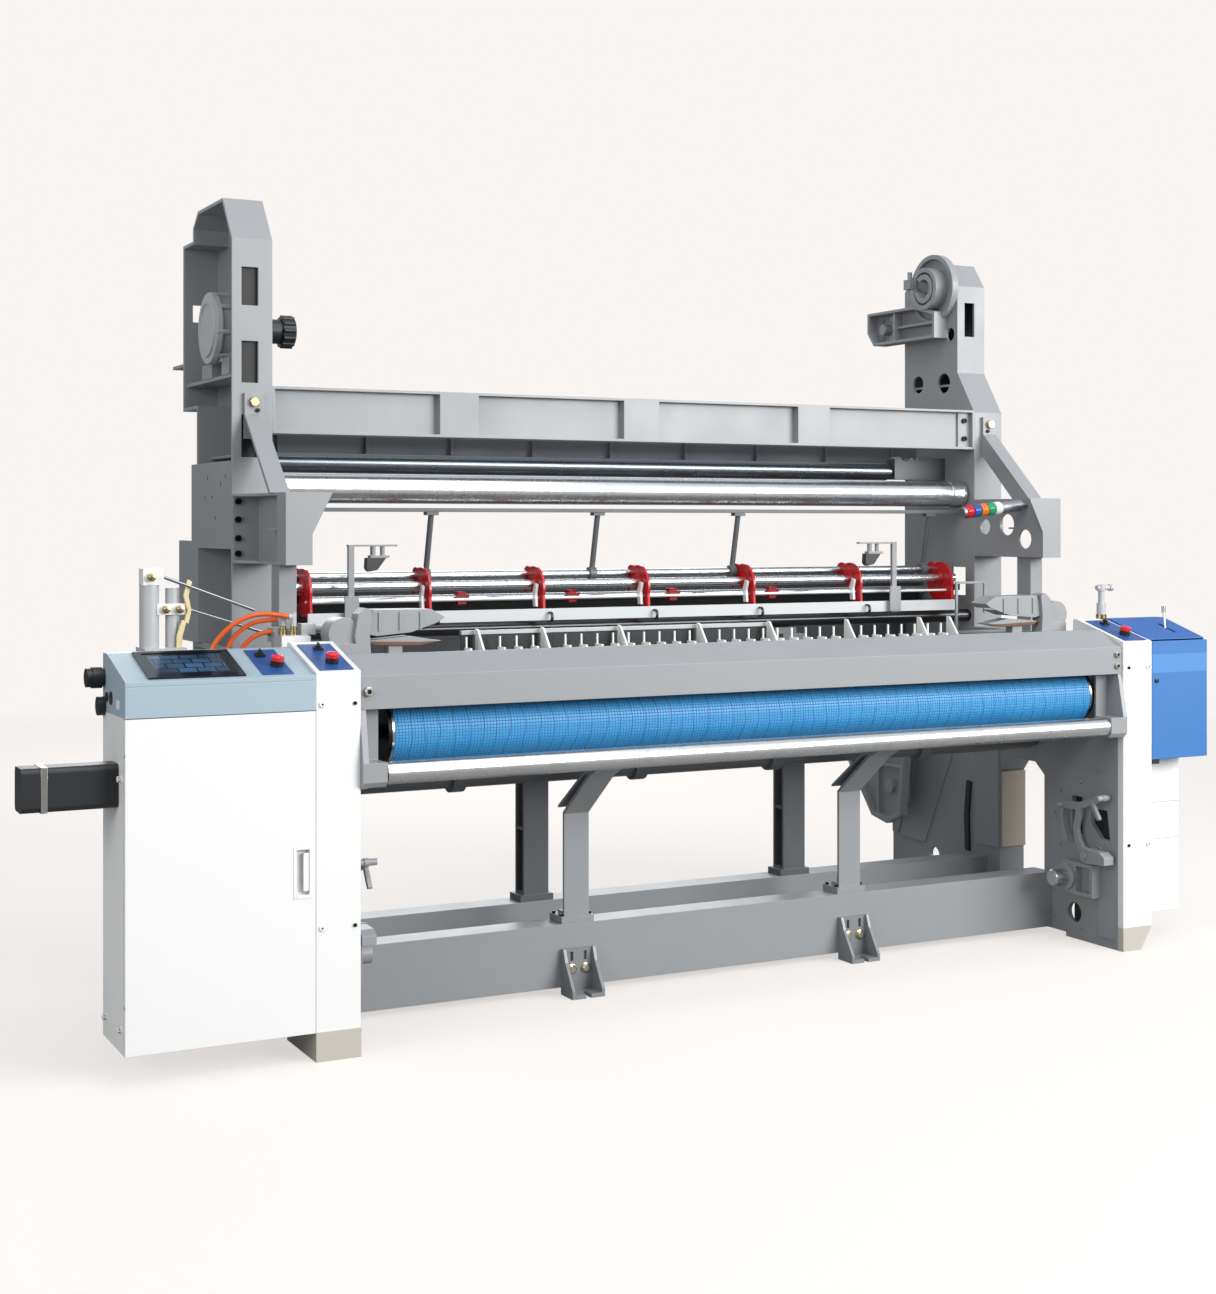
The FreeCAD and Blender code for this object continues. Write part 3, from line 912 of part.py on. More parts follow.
DRIVE_HINGE = (DX1 - 5.0, 7.0, (680.0, 900.0))
for z in DRIVE_HINGE[2]:
    ears += [cyl_z(z - 18, z + 18, DRIVE_HINGE[0], DRIVE_HINGE[1], 3),
             box(DRIVE_HINGE[0] - 2.5, DRIVE_HINGE[0] + 2.5, DRIVE_HINGE[1], 24, z + 12, z + 18),
             box(DRIVE_HINGE[0] - 2.5, DX1 - 1, 18, 24, z + 6, z + 24)]
drive = join([drive] + ears).cut(cyl_x(LEVER_X - 16, LEVER_X + 16, LEVER_Y, LEVER_Z, 4 + FIT))
save("drive_box", drive)
ddoor = box(DX0 + 1, DX1, 0, 12, DRIVE_Z0, DRIVE_Z1 - 6)
ddoor = ddoor.cut(box(DX0 + 3, DX1 - 2, 2, 13, DRIVE_Z0 + 2, DRIVE_Z1 - 8))
hx, hy, hinges = DRIVE_HINGE
ddoor = ddoor.cut(join([box(DX1 - 3, DX1 + 1, 2, 13, z + 11, z + 19) for z in hinges]))
ddoor = join([ddoor] + [box(hx - 6, hx + 5, 1, hy + 5, z - 16, z + 10) for z in hinges])
ddoor = ddoor.cut(join([cyl_z(z - 20, z + 20, hx, hy, 3 + FIT) for z in hinges]))
save("drive_door", ddoor)
shift_rod = join([rod((LEVER_X, LEVER_Y, LEVER_Z), (LEVER_X, LEVER_Y + 10, LEVER_Z + 91), 3.5),
               cyl_z(1070, 1092, LEVER_X, LEVER_Y + 10, 6.5),
               cyl_x(LEVER_X - 17, LEVER_X + 17, LEVER_Y, LEVER_Z, 4)])
save("shift_lever", shift_rod)
white = box(DX0, 1608, 96, 236, 92, 600).cut(box(DX0 + 3, 1605, 99, 233, 95, 597))
save("white_box", white)

def frame_bolts():
    """The visible fasteners, each standing on its plate."""
    heads = []
    for x in ANCHOR_X:
        heads += [hex_head(x + d, BASE_FRONT_Y - 10, 72, 18, 9, (0, -1, 0)) for d in (-22, 22)]
    for xc in (-POST_X - 4, POST_X - 13):
        heads += [hex_head(xc + d, y, 222, 10, 7, (0, 0, 1)) for d in (-46.3, 46.3) for y in (360, 410)]
    for x in (-OUT + 14, -GAP - 20):
        heads += [hex_head(x, TOWER_Y - 10, z, 17, 9, (0, -1, 0)) for z in (1278, 1322, 1376, 1428)]
    heads += [cap_screw(GAP - 33, TOWER_Y + 18, z, 9, 9, (0, -1, 0)) for z in (1665, 1728)]
    for side_sign in (1, -1):
        heads.append(hex_head(side_sign * (GAP + 58), TOWER_Y - 12, 1716, 24, 12, (0, -1, 0)))
        heads.append(hex_head(side_sign * (GAP + 48), TOWER_Y - 12, 1692, 11, 7, (0, -1, 0)))
    heads.append(hex_head(-GAP + 22, 6, 932, 20, 10, (0, -1, 0)))
    heads += [hex_head(GAP - 22, 6, z, 16, 8, (0, -1, 0)) for z in (912, 948)]
    for x in (-OUT + 16, -GAP - 16, GAP + 22, OUT - 16):
        heads += [hex_head(x, 0, z, 9, 4, (0, -1, 0)) for z in (338, 905)]
    for y, z in ((40, 132), (200, 128), (40, 742), (200, 738)):
        heads.append(hex_head(CX0, y, z, 14, 9, (-1, 0, 0)))
    return heads


save("frame_bolts", frame_bolts())
print("left", min(b[0] for b in SAVED), "right", max(b[1] for b in SAVED), "front", min(b[2] for b in SAVED),
      "back", max(b[3] for b in SAVED), "top", max(b[5] for b in SAVED))
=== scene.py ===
import math

import bmesh
import bpy
from mathutils import Matrix, Vector


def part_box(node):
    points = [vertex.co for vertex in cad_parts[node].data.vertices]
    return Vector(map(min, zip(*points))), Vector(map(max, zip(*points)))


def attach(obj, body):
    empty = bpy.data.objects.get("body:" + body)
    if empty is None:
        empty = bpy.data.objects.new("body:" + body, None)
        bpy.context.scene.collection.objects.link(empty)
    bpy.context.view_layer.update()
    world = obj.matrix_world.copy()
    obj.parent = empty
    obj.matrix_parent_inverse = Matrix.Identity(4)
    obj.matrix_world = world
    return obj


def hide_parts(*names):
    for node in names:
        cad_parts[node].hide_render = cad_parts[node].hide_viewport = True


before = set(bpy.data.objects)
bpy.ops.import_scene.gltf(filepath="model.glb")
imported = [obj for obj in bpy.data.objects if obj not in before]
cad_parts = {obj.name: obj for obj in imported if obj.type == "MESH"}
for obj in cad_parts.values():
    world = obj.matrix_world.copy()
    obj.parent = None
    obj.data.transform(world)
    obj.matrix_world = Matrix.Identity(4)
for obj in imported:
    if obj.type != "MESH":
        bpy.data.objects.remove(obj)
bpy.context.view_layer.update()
print("frame loaded")

# the loom's own axes: x from the weaving centre, y from the column fronts, z from the floor, in mm
beamLow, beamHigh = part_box("base_beams")
centreX = (beamLow.x + beamHigh.x) / 2
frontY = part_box("column_covers")[0].y


def loom(x, y, z):
    return Vector((centreX + x / 1000, frontY + y / 1000, z / 1000))


def toLinear(hexColour):
    channels = [int(hexColour[k:k + 2], 16) / 255 for k in (1, 3, 5)]
    return [c / 12.92 if c <= 0.04045 else ((c + 0.055) / 1.055) ** 2.4 for c in channels] + [1.0]


# camera at standing eye height, left of the machine, level, with a little downward shift
cameraSetup = {"place": (-2941, -4578, 1360), "turn": 27.4, "lens": 52.5, "shift": -0.0943}


def makeCamera(s):
    data = bpy.data.cameras.new("loomCamera")
    camera = bpy.data.objects.new("loomCamera", data)
    bpy.context.scene.collection.objects.link(camera)
    camera.location = loom(*s["place"])
    camera.rotation_euler = (math.pi / 2, 0, -math.radians(s["turn"]))
    data.lens = s["lens"]
    data.shift_y = s["shift"]
    bpy.context.scene.camera = camera


makeCamera(cameraSetup)


# one helper adds a node, sets its properties and fills its sockets with values or links
def addNode(tree, kind, inputs=None, **settings):
    node = tree.nodes.new("ShaderNode" + kind)
    for key, value in settings.items():
        setattr(node, key, value)
    for key, value in (inputs or {}).items():
        if isinstance(value, bpy.types.NodeSocket):
            tree.links.new(value, node.inputs[key])
        else:
            node.inputs[key].default_value = value
    return node


# a colour mix has several sockets of one name, so they go by place: factor, two colours in, result out
mixFactor, mixFirst, mixSecond, mixResult = 0, 6, 7, 2
noiseLow, noiseHigh = 0.3, 0.7  # nearly all of a noise pattern lies between these


def newMaterial(name, colour, roughness, metallic=0.0):
    material = bpy.data.materials.new(name)
    material.use_nodes = True
    shader = material.node_tree.nodes["Principled BSDF"]
    shader.inputs["Base Color"].default_value = toLinear(colour)
    shader.inputs["Roughness"].default_value = roughness
    shader.inputs["Metallic"].default_value = metallic
    return material, material.node_tree, shader


def shaded(hexColour, share):
    return [c * share for c in toLinear(hexColour)[:3]] + [1.0]


# marks of a real size in millimetres, stretched along the way the tool or the cloth ran
def surfaceMarks(tree, sizeMm, detail=3.0, stretch=(1, 1, 1)):
    place = addNode(tree, "TexCoord")
    scaled = addNode(tree, "VectorMath", {0: place.outputs["Object"], 1: stretch}, operation="MULTIPLY")
    return addNode(tree, "TexNoise", {"Vector": scaled.outputs[0], "Scale": 1000.0 / sizeMm,
                                      "Detail": detail})


# stoved paint on steel and castings: a satin film with faint orange peel (size of one dimple in mm),
# broad patches a shade apart, and edges painted a little lighter, partly as rubbed wear and partly as painted
# highlight
paints = {
    # stove enamel on the frame castings: even mid grey that still shows soft highlights
    "greyEnamel": {"colour": "#939597", "patch": "#8A8C8E", "edge": "#B9BABB", "rough": 0.36, "peel": 5.0},
    # the same enamel on parts deep inside: its colour painted darker as shade, and duller from oil mist
    "shadedEnamel": {"colour": "#5C5F62", "patch": "#525558", "edge": "#85888B", "rough": 0.42, "peel": 5.0},
    # aluminium-filled paint: pale grey with tight, small peel
    "silverPaint": {"colour": "#B4B6B7", "patch": "#A9ABAD", "edge": "#CFD0D1", "rough": 0.38, "peel": 2.5},
    # powder coat on folded sheet: clean white, broad soft sheen
    "whitePowder": {"colour": "#E3E3E1", "patch": "#DFDFDD", "edge": "#F2F2F0", "rough": 0.40, "peel": 3.0},
    # powder coat on the console: cool grey-blue, a little glossier
    "consolePowder": {"colour": "#9DB0BA", "patch": "#97AAB4", "edge": "#C2CFD6", "rough": 0.38, "peel": 3.0},
    # printed film glued on the switch panels: flat deep blue
    "panelFilm": {"colour": "#17488A", "patch": "#154382", "edge": "#3566A4", "rough": 0.46, "peel": 2.0},
    # gloss enamel brushed on the tension plates: bright red with sharp highlights
    "redEnamel": {"colour": "#C5161C", "patch": "#B41217", "edge": "#DD4A45", "rough": 0.26, "peel": 5.0},
    # powder coat on the small cover: dull beige
    "beigePowder": {"colour": "#B9AF9E", "patch": "#B1A796", "edge": "#CFC6B6", "rough": 0.45, "peel": 3.0},
}
film = {"patchMm": 180.0, "edgeMm": 2.2, "wearFrom": 0.995, "wearTo": 0.80, "wearAndHighlight": 0.55,
        "peelMm": 0.4, "peelStrength": 0.10, "rubbed": 0.04, "dusty": 0.06}


def paintedSteel(name, p):
    material, tree, shader = newMaterial(name, p["colour"], p["rough"])
    patch = surfaceMarks(tree, film["patchMm"])
    coat = addNode(tree, "Mix", {mixFactor: patch.outputs[0], mixFirst: toLinear(p["colour"]),
                                 mixSecond: toLinear(p["patch"])}, data_type="RGBA")
    rounded = addNode(tree, "Bevel", {"Radius": film["edgeMm"] / 1000}, samples=4)
    flat = addNode(tree, "NewGeometry")
    turn = addNode(tree, "VectorMath", {0: rounded.outputs[0], 1: flat.outputs["Normal"]},
                   operation="DOT_PRODUCT")
    # painted highlight and wear: where the rounded normal turns away from the flat one, the colour goes
    # towards the lighter edge colour
    edge = addNode(tree, "MapRange", {"Value": turn.outputs["Value"], "From Min": film["wearFrom"],
                                      "From Max": film["wearTo"], "To Min": 0.0, "To Max": film["wearAndHighlight"]})
    worn = addNode(tree, "Mix", {mixFactor: edge.outputs[0], mixFirst: coat.outputs[mixResult],
                                 mixSecond: toLinear(p["edge"])}, data_type="RGBA")
    tree.links.new(worn.outputs[mixResult], shader.inputs["Base Color"])
    peel = surfaceMarks(tree, p["peel"], 2.0)
    bump = addNode(tree, "Bump", {"Strength": film["peelStrength"], "Distance": film["peelMm"] / 1000,
                                  "Height": peel.outputs[0], "Normal": rounded.outputs[0]})
    tree.links.new(bump.outputs[0], shader.inputs["Normal"])
    gloss = addNode(tree, "MapRange", {"Value": patch.outputs[0], "From Min": noiseLow, "From Max": noiseHigh,
                                       "To Min": p["rough"] - film["rubbed"],
                                       "To Max": p["rough"] + film["dusty"]})
    tree.links.new(gloss.outputs[0], shader.inputs["Roughness"])
    return material


# bare metals: ground, plated or cast, told apart by the size (mm), direction and depth of their marks
metals = {
    # hard chrome on ground tube: bright, with long soft streaks along it
    "hardChrome": {"colour": "#DADCDD", "rough": 0.27, "marks": 40.0, "stretch": (1, 0.1, 0.1), "depth": 0.0},
    # centreless-ground rod: fine rings that stretch the highlight
    "groundSteel": {"colour": "#A8ABAD", "rough": 0.24, "marks": 1.6, "stretch": (1, 0.05, 0.05),
                    "depth": 0.06},
    # oiled bright steel: darker, as if slightly wet
    "oiledSteel": {"colour": "#6A6F74", "rough": 0.28, "marks": 60.0, "stretch": (1, 0.1, 0.1), "depth": 0.0},
    # brushed stainless strip: fine lines up the strip, warm grey
    "brushedStainless": {"colour": "#B9B8B4", "rough": 0.30, "marks": 1.2, "stretch": (0.05, 0.05, 1),
                         "depth": 0.08},
    # sand-cast aluminium: grainy and dull
    "castAluminium": {"colour": "#9A9DA0", "rough": 0.48, "marks": 2.2, "stretch": (1, 1, 1), "depth": 0.25},
    # chemically blacked steel: near black with a weak metal glint
    "blackOxide": {"colour": "#26282A", "rough": 0.38, "marks": 1.5, "stretch": (1, 1, 1), "depth": 0.10},
    # zinc-plated screws: pale with a faint yellow cast
    "zincPlate": {"colour": "#C9C6BC", "rough": 0.28, "marks": 1.5, "stretch": (1, 1, 1), "depth": 0.06},
    # turned brass fittings: pale gold, bright
    "brass": {"colour": "#CDB98A", "rough": 0.24, "marks": 1.5, "stretch": (1, 1, 1), "depth": 0.05},
}
tarnish = {"stainMm": 90.0, "shade": 0.82, "polished": 0.94, "dulled": 1.08, "markMm": 0.4}


def bareMetal(name, m):
    material, tree, shader = newMaterial(name, m["colour"], m["rough"], 1.0)
    marks = surfaceMarks(tree, m["marks"], 2.0, m["stretch"])
    stain = surfaceMarks(tree, tarnish["stainMm"])
    colour = addNode(tree, "Mix", {mixFactor: stain.outputs[0], mixFirst: toLinear(m["colour"]),
                                   mixSecond: shaded(m["colour"], tarnish["shade"])}, data_type="RGBA")
    tree.links.new(colour.outputs[mixResult], shader.inputs["Base Color"])
    gloss = addNode(tree, "MapRange", {"Value": marks.outputs[0], "From Min": noiseLow, "From Max": noiseHigh,
                                       "To Min": m["rough"] * tarnish["polished"],
                                       "To Max": m["rough"] * tarnish["dulled"]})
    tree.links.new(gloss.outputs[0], shader.inputs["Roughness"])
    bump = addNode(tree, "Bump", {"Strength": m["depth"], "Distance": tarnish["markMm"] / 1000,
                                  "Height": marks.outputs[0]})
    tree.links.new(bump.outputs[0], shader.inputs["Normal"])
    return material


# moulded and extruded plastics, rubber and lacquer: fine grain (mm) from the mould or the die
plastics = {
    # glass-filled nylon mouldings: matt black with a fine grain
    "blackNylon": {"colour": "#1A1B1D", "rough": 0.42, "grain": 1.4, "depth": 0.12},
    # polished mouldings of the stop buttons: clear bright red
    "redPolycarbonate": {"colour": "#D3202A", "rough": 0.22, "grain": 4.0, "depth": 0.02},
    # plain nylon mouldings: milky white
    "whiteNylon": {"colour": "#E9E9E6", "rough": 0.38, "grain": 2.5, "depth": 0.06},
    # extruded air hose: smooth orange with one long highlight
    "orangePolyurethane": {"colour": "#D9571C", "rough": 0.30, "grain": 3.0, "depth": 0.05},
    # vulcanised rubber: almost no shine
    "blackRubber": {"colour": "#1B1B1C", "rough": 0.55, "grain": 2.0, "depth": 0.12},
    # yellowed nylon of the valve levers: waxy ivory
    "ivoryTube": {"colour": "#E3D2A2", "rough": 0.30, "grain": 3.0, "depth": 0.04},
    # lacquered pressed wood of the rapier runners: warm brown gloss
    "brownLacquer": {"colour": "#6E4A32", "rough": 0.30, "grain": 6.0, "depth": 0.06},
    # polished acrylic lenses of the signal lamp: strong colours with sharp highlights
    "lensRed": {"colour": "#C9151C", "rough": 0.16, "grain": 3.0, "depth": 0.03},
    "lensBlue": {"colour": "#1E5FA8", "rough": 0.16, "grain": 3.0, "depth": 0.03},
    "lensOrange": {"colour": "#E2761B", "rough": 0.16, "grain": 3.0, "depth": 0.03},
    "lensGreen": {"colour": "#1F9A66", "rough": 0.16, "grain": 3.0, "depth": 0.03},
    "lensClear": {"colour": "#E4E8E6", "rough": 0.14, "grain": 3.0, "depth": 0.03},
}
mould = {"shadeMm": 60.0, "shade": 0.86, "grainMm": 0.5}


def mouldedPlastic(name, p):
    material, tree, shader = newMaterial(name, p["colour"], p["rough"])
    grain = surfaceMarks(tree, p["grain"], 2.0)
    shade = surfaceMarks(tree, mould["shadeMm"])
    colour = addNode(tree, "Mix", {mixFactor: shade.outputs[0], mixFirst: toLinear(p["colour"]),
                                   mixSecond: shaded(p["colour"], mould["shade"])}, data_type="RGBA")
    tree.links.new(colour.outputs[mixResult], shader.inputs["Base Color"])
    bump = addNode(tree, "Bump", {"Strength": p["depth"], "Distance": mould["grainMm"] / 1000,
                                  "Height": grain.outputs[0]})
    tree.links.new(bump.outputs[0], shader.inputs["Normal"])
    return material


materials = {name: paintedSteel(name, p) for name, p in paints.items()}
materials.update({name: bareMetal(name, m) for name, m in metals.items()})
materials.update({name: mouldedPlastic(name, p) for name, p in plastics.items()})

# coated fabric wound on the take-up roller: square cells of raised threads that grip the cloth;
# the real weave is about 2 mm, drawn at 9 mm so that it shows
sleeveCloth = {"cell": 9.0, "threadShare": 0.16, "thread": "#15609C", "fill": "#3A9CD2", "worn": "#2A89C4",
               "rough": 0.42, "fadeMm": 60.0, "raise": 0.6, "raiseMm": 1.2,
               "lap": 41.0, "lapLine": "#0F4478", "lapShare": 0.05, "lapDark": 0.85, "wanderMm": 110.0,
               "wander": 0.045}


def wovenSleeve(s):
    material, tree, shader = newMaterial("coatedFabric", s["worn"], s["rough"])
    low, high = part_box("take_up_sleeve")
    middle, radius = (low + high) / 2, (high.z - low.z) / 2
    place = addNode(tree, "TexCoord")
    centred = addNode(tree, "VectorMath", {0: place.outputs["Object"], 1: (0, middle.y, middle.z)},
                      operation="SUBTRACT")
    axes = addNode(tree, "SeparateXYZ", {0: centred.outputs[0]})
    angle = addNode(tree, "Math", {0: axes.outputs["Z"], 1: axes.outputs["Y"]}, operation="ARCTAN2")
    cell = s["cell"] / 1000
    lines = []
    for source, perUnit in ((axes.outputs["X"], 1 / cell), (angle.outputs[0], radius / cell)):
        scaled = addNode(tree, "Math", {0: source, 1: perUnit}, operation="MULTIPLY")
        wave = addNode(tree, "Math", {0: scaled.outputs[0], 1: 0.5}, operation="PINGPONG")
        lines.append(addNode(tree, "MapRange", {"Value": wave.outputs[0], "From Min": 0.0,
                                                "From Max": s["threadShare"]}))
    weave = addNode(tree, "Math", {0: lines[0].outputs[0], 1: lines[1].outputs[0]}, operation="MULTIPLY")
    broad = surfaceMarks(tree, s["fadeMm"], 4.0, (1, 0.25, 0.25))
    fill = addNode(tree, "Mix", {mixFactor: broad.outputs[0], mixFirst: toLinear(s["fill"]),
                                 mixSecond: toLinear(s["worn"])}, data_type="RGBA")
    cloth = addNode(tree, "Mix", {mixFactor: weave.outputs[0], mixFirst: toLinear(s["thread"]),
                                  mixSecond: fill.outputs[mixResult]}, data_type="RGBA")
    # the strip is wound on in laps, whose edges wander a few millimetres
    drift = surfaceMarks(tree, s["wanderMm"], 1.0)
    shift = addNode(tree, "Math", {0: drift.outputs[0], 1: s["wander"], 2: axes.outputs["X"]},
                    operation="MULTIPLY_ADD")
    count = addNode(tree, "Math", {0: shift.outputs[0], 1: 1000 / s["lap"]}, operation="MULTIPLY")
    lapWave = addNode(tree, "Math", {0: count.outputs[0], 1: 0.5}, operation="PINGPONG")
    lap = addNode(tree, "MapRange", {"Value": lapWave.outputs[0], "From Min": 0.0, "From Max": s["lapShare"],
                                     "To Min": s["lapDark"], "To Max": 0.0})
    colour = addNode(tree, "Mix", {mixFactor: lap.outputs[0], mixFirst: cloth.outputs[mixResult],
                                   mixSecond: toLinear(s["lapLine"])}, data_type="RGBA")
    tree.links.new(colour.outputs[mixResult], shader.inputs["Base Color"])
    bump = addNode(tree, "Bump", {"Strength": s["raise"], "Distance": s["raiseMm"] / 1000,
                                  "Height": weave.outputs[0]})
    tree.links.new(bump.outputs[0], shader.inputs["Normal"])
    return material


materials["coatedFabric"] = wovenSleeve(sleeveCloth)

# powder coat on the drive box: dull blue, a lighter band under the lid, and the lid painted darker as shade
# (heights in metres)
driveCoat = {"body": "#2E6AA8", "top": "#17539A", "band": "#437CB8", "bandFrom": 0.884, "bandTo": 0.944,
             "lid": 0.993, "rough": 0.48, "peel": 3.0, "edgeMm": 2.0, "peelStrength": 0.1, "peelMm": 0.4}


def bandedPowder(s):
    material, tree, shader = newMaterial("bluePowder", s["body"], s["rough"])
    place = addNode(tree, "TexCoord")
    axes = addNode(tree, "SeparateXYZ", {0: place.outputs["Object"]})
    above = addNode(tree, "Math", {0: axes.outputs["Z"], 1: s["bandFrom"]}, operation="GREATER_THAN")
    below = addNode(tree, "Math", {0: axes.outputs["Z"], 1: s["bandTo"]}, operation="LESS_THAN")
    band = addNode(tree, "Math", {0: above.outputs[0], 1: below.outputs[0]}, operation="MULTIPLY")
    # painted shade: everything above the lid height takes the darker lid colour
    lid = addNode(tree, "Math", {0: axes.outputs["Z"], 1: s["lid"]}, operation="GREATER_THAN")
    sides = addNode(tree, "Mix", {mixFactor: band.outputs[0], mixFirst: toLinear(s["body"]),
                                  mixSecond: toLinear(s["band"])}, data_type="RGBA")
    colour = addNode(tree, "Mix", {mixFactor: lid.outputs[0], mixFirst: sides.outputs[mixResult],
                                   mixSecond: toLinear(s["top"])}, data_type="RGBA")
    tree.links.new(colour.outputs[mixResult], shader.inputs["Base Color"])
    peel = surfaceMarks(tree, s["peel"], 2.0)
    rounded = addNode(tree, "Bevel", {"Radius": s["edgeMm"] / 1000}, samples=4)
    bump = addNode(tree, "Bump", {"Strength": s["peelStrength"], "Distance": s["peelMm"] / 1000,
                                  "Height": peel.outputs[0], "Normal": rounded.outputs[0]})
    tree.links.new(bump.outputs[0], shader.inputs["Normal"])
    return material


materials["bluePowder"] = bandedPowder(driveCoat)

# float glass over the display: black and mirror smooth, with a dim blue picture of plain tiles behind it;
# the picture stops short of the edge by the border, in metres
displayGlass = {"glass": "#10151C", "rough": 0.08, "tile": "#4A6D92", "tileDim": "#2E4A68", "tileMm": 34.0,
                "gap": 0.06, "wide": 1.4, "high": 0.9, "hazeMm": 120.0, "dimmest": 0.35, "brightest": 0.9,
                "border": 0.030}


def screenGlass(s):
    material, tree, shader = newMaterial("displayGlass", s["glass"], s["rough"])
    place = addNode(tree, "TexCoord")
    scaled = addNode(tree, "VectorMath", {0: place.outputs["Object"], 1: (1000 / s["tileMm"],) * 3},
                     operation="MULTIPLY")
    tiles = addNode(tree, "TexBrick", {"Vector": scaled.outputs[0], "Color1": toLinear(s["tile"]),
                                       "Color2": toLinear(s["tileDim"]), "Mortar": toLinear(s["glass"]),
                                       "Scale": 1.0, "Mortar Size": s["gap"], "Brick Width": s["wide"],
                                       "Row Height": s["high"]})
    haze = surfaceMarks(tree, s["hazeMm"])
    glow = addNode(tree, "MapRange", {"Value": haze.outputs[0], "From Min": noiseLow, "From Max": noiseHigh,
                                      "To Min": s["dimmest"], "To Max": s["brightest"]})
    picture = addNode(tree, "Mix", {mixFactor: glow.outputs[0], mixFirst: toLinear(s["glass"]),
                                    mixSecond: tiles.outputs["Color"]}, data_type="RGBA")
    low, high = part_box("touch_screen")
    middle, half = (low + high) / 2, (high - low) / 2
    centred = addNode(tree, "VectorMath", {0: place.outputs["Object"], 1: middle}, operation="SUBTRACT")
    axes = addNode(tree, "SeparateXYZ", {0: centred.outputs[0]})
    inside = 1.0
    for axis, reach in (("X", half.x - s["border"]), ("Y", half.y - s["border"])):
        far = addNode(tree, "Math", {0: axes.outputs[axis]}, operation="ABSOLUTE")
        near = addNode(tree, "Math", {0: far.outputs[0], 1: reach}, operation="LESS_THAN")
        inside = addNode(tree, "Math", {0: inside, 1: near.outputs[0]}, operation="MULTIPLY").outputs[0]
    colour = addNode(tree, "Mix", {mixFactor: inside, mixFirst: toLinear(s["glass"]),
                                   mixSecond: picture.outputs[mixResult]}, data_type="RGBA")
    tree.links.new(colour.outputs[mixResult], shader.inputs["Base Color"])
    return material


materials["displayGlass"] = screenGlass(displayGlass)

# feet in brushed stainless: warm, soft metal with upright lines; the anchors near the middle (within
# "reach" metres) are plain grey enamel
footSplit = {"anchor": "#7F8284", "foot": "#CFCAC0", "anchorRough": 0.38, "footRough": 0.30, "reach": 1.1,
             "shine": 0.45, "lineMm": 1.4, "lineStrength": 0.08, "depthMm": 0.4}


def splitFeet(s):
    material, tree, shader = newMaterial("feetAndAnchors", s["foot"], s["footRough"])
    place = addNode(tree, "TexCoord")
    fromCentre = addNode(tree, "VectorMath", {0: place.outputs["Object"], 1: (centreX, 0, 0)},
                         operation="SUBTRACT")
    axes = addNode(tree, "SeparateXYZ", {0: fromCentre.outputs[0]})
    far = addNode(tree, "Math", {0: axes.outputs["X"]}, operation="ABSOLUTE")
    isFoot = addNode(tree, "Math", {0: far.outputs[0], 1: s["reach"]}, operation="GREATER_THAN")
    colour = addNode(tree, "Mix", {mixFactor: isFoot.outputs[0], mixFirst: toLinear(s["anchor"]),
                                   mixSecond: toLinear(s["foot"])}, data_type="RGBA")
    tree.links.new(colour.outputs[mixResult], shader.inputs["Base Color"])
    shine = addNode(tree, "Math", {0: isFoot.outputs[0], 1: s["shine"]}, operation="MULTIPLY")
    tree.links.new(shine.outputs[0], shader.inputs["Metallic"])
    marks = surfaceMarks(tree, s["lineMm"], 2.0, (0.05, 0.05, 1))
    gloss = addNode(tree, "MapRange", {"Value": marks.outputs[0], "From Min": noiseLow, "From Max": noiseHigh,
                                       "To Min": s["footRough"], "To Max": s["anchorRough"]})
    tree.links.new(gloss.outputs[0], shader.inputs["Roughness"])
    bump = addNode(tree, "Bump", {"Strength": s["lineStrength"], "Distance": s["depthMm"] / 1000,
                                  "Height": marks.outputs[0]})
    tree.links.new(bump.outputs[0], shader.inputs["Normal"])
    return material


materials["feetAndAnchors"] = splitFeet(footSplit)

# drawn-wire reed: upright wires over darker gaps, under a pale cap; the dark wire colour and the near-black
# gaps are painted shade of the dark space behind the reed; the real wires are under 1 mm apart, drawn at 5 mm
# so that they show
reedLook = {"wire": "#2C2E31", "gap": "#0E0F10", "cap": "#B9BBBC", "pitch": 5.0, "capFrom": 1.049,
            "rough": 0.35, "wireFrom": 0.28, "wireTo": 0.4, "raise": 0.4, "raiseMm": 1.0}


def reedWires(s):
    material, tree, shader = newMaterial("reedWires", s["wire"], s["rough"])
    place = addNode(tree, "TexCoord")
    axes = addNode(tree, "SeparateXYZ", {0: place.outputs["Object"]})
    count = addNode(tree, "Math", {0: axes.outputs["X"], 1: 1000 / s["pitch"]}, operation="MULTIPLY")
    wave = addNode(tree, "Math", {0: count.outputs[0], 1: 0.5}, operation="PINGPONG")
    wire = addNode(tree, "MapRange", {"Value": wave.outputs[0], "From Min": s["wireFrom"],
                                      "From Max": s["wireTo"]})
    # painted shade: dark wires over near-black gaps
    wires = addNode(tree, "Mix", {mixFactor: wire.outputs[0], mixFirst: toLinear(s["gap"]),
                                  mixSecond: toLinear(s["wire"])}, data_type="RGBA")
    isCap = addNode(tree, "Math", {0: axes.outputs["Z"], 1: s["capFrom"]}, operation="GREATER_THAN")
    colour = addNode(tree, "Mix", {mixFactor: isCap.outputs[0], mixFirst: wires.outputs[mixResult],
                                   mixSecond: toLinear(s["cap"])}, data_type="RGBA")
    tree.links.new(colour.outputs[mixResult], shader.inputs["Base Color"])
    bump = addNode(tree, "Bump", {"Strength": s["raise"], "Distance": s["raiseMm"] / 1000,
                                  "Height": wire.outputs[0]})
    tree.links.new(bump.outputs[0], shader.inputs["Normal"])
    return material


materials["reedWires"] = reedWires(reedLook)

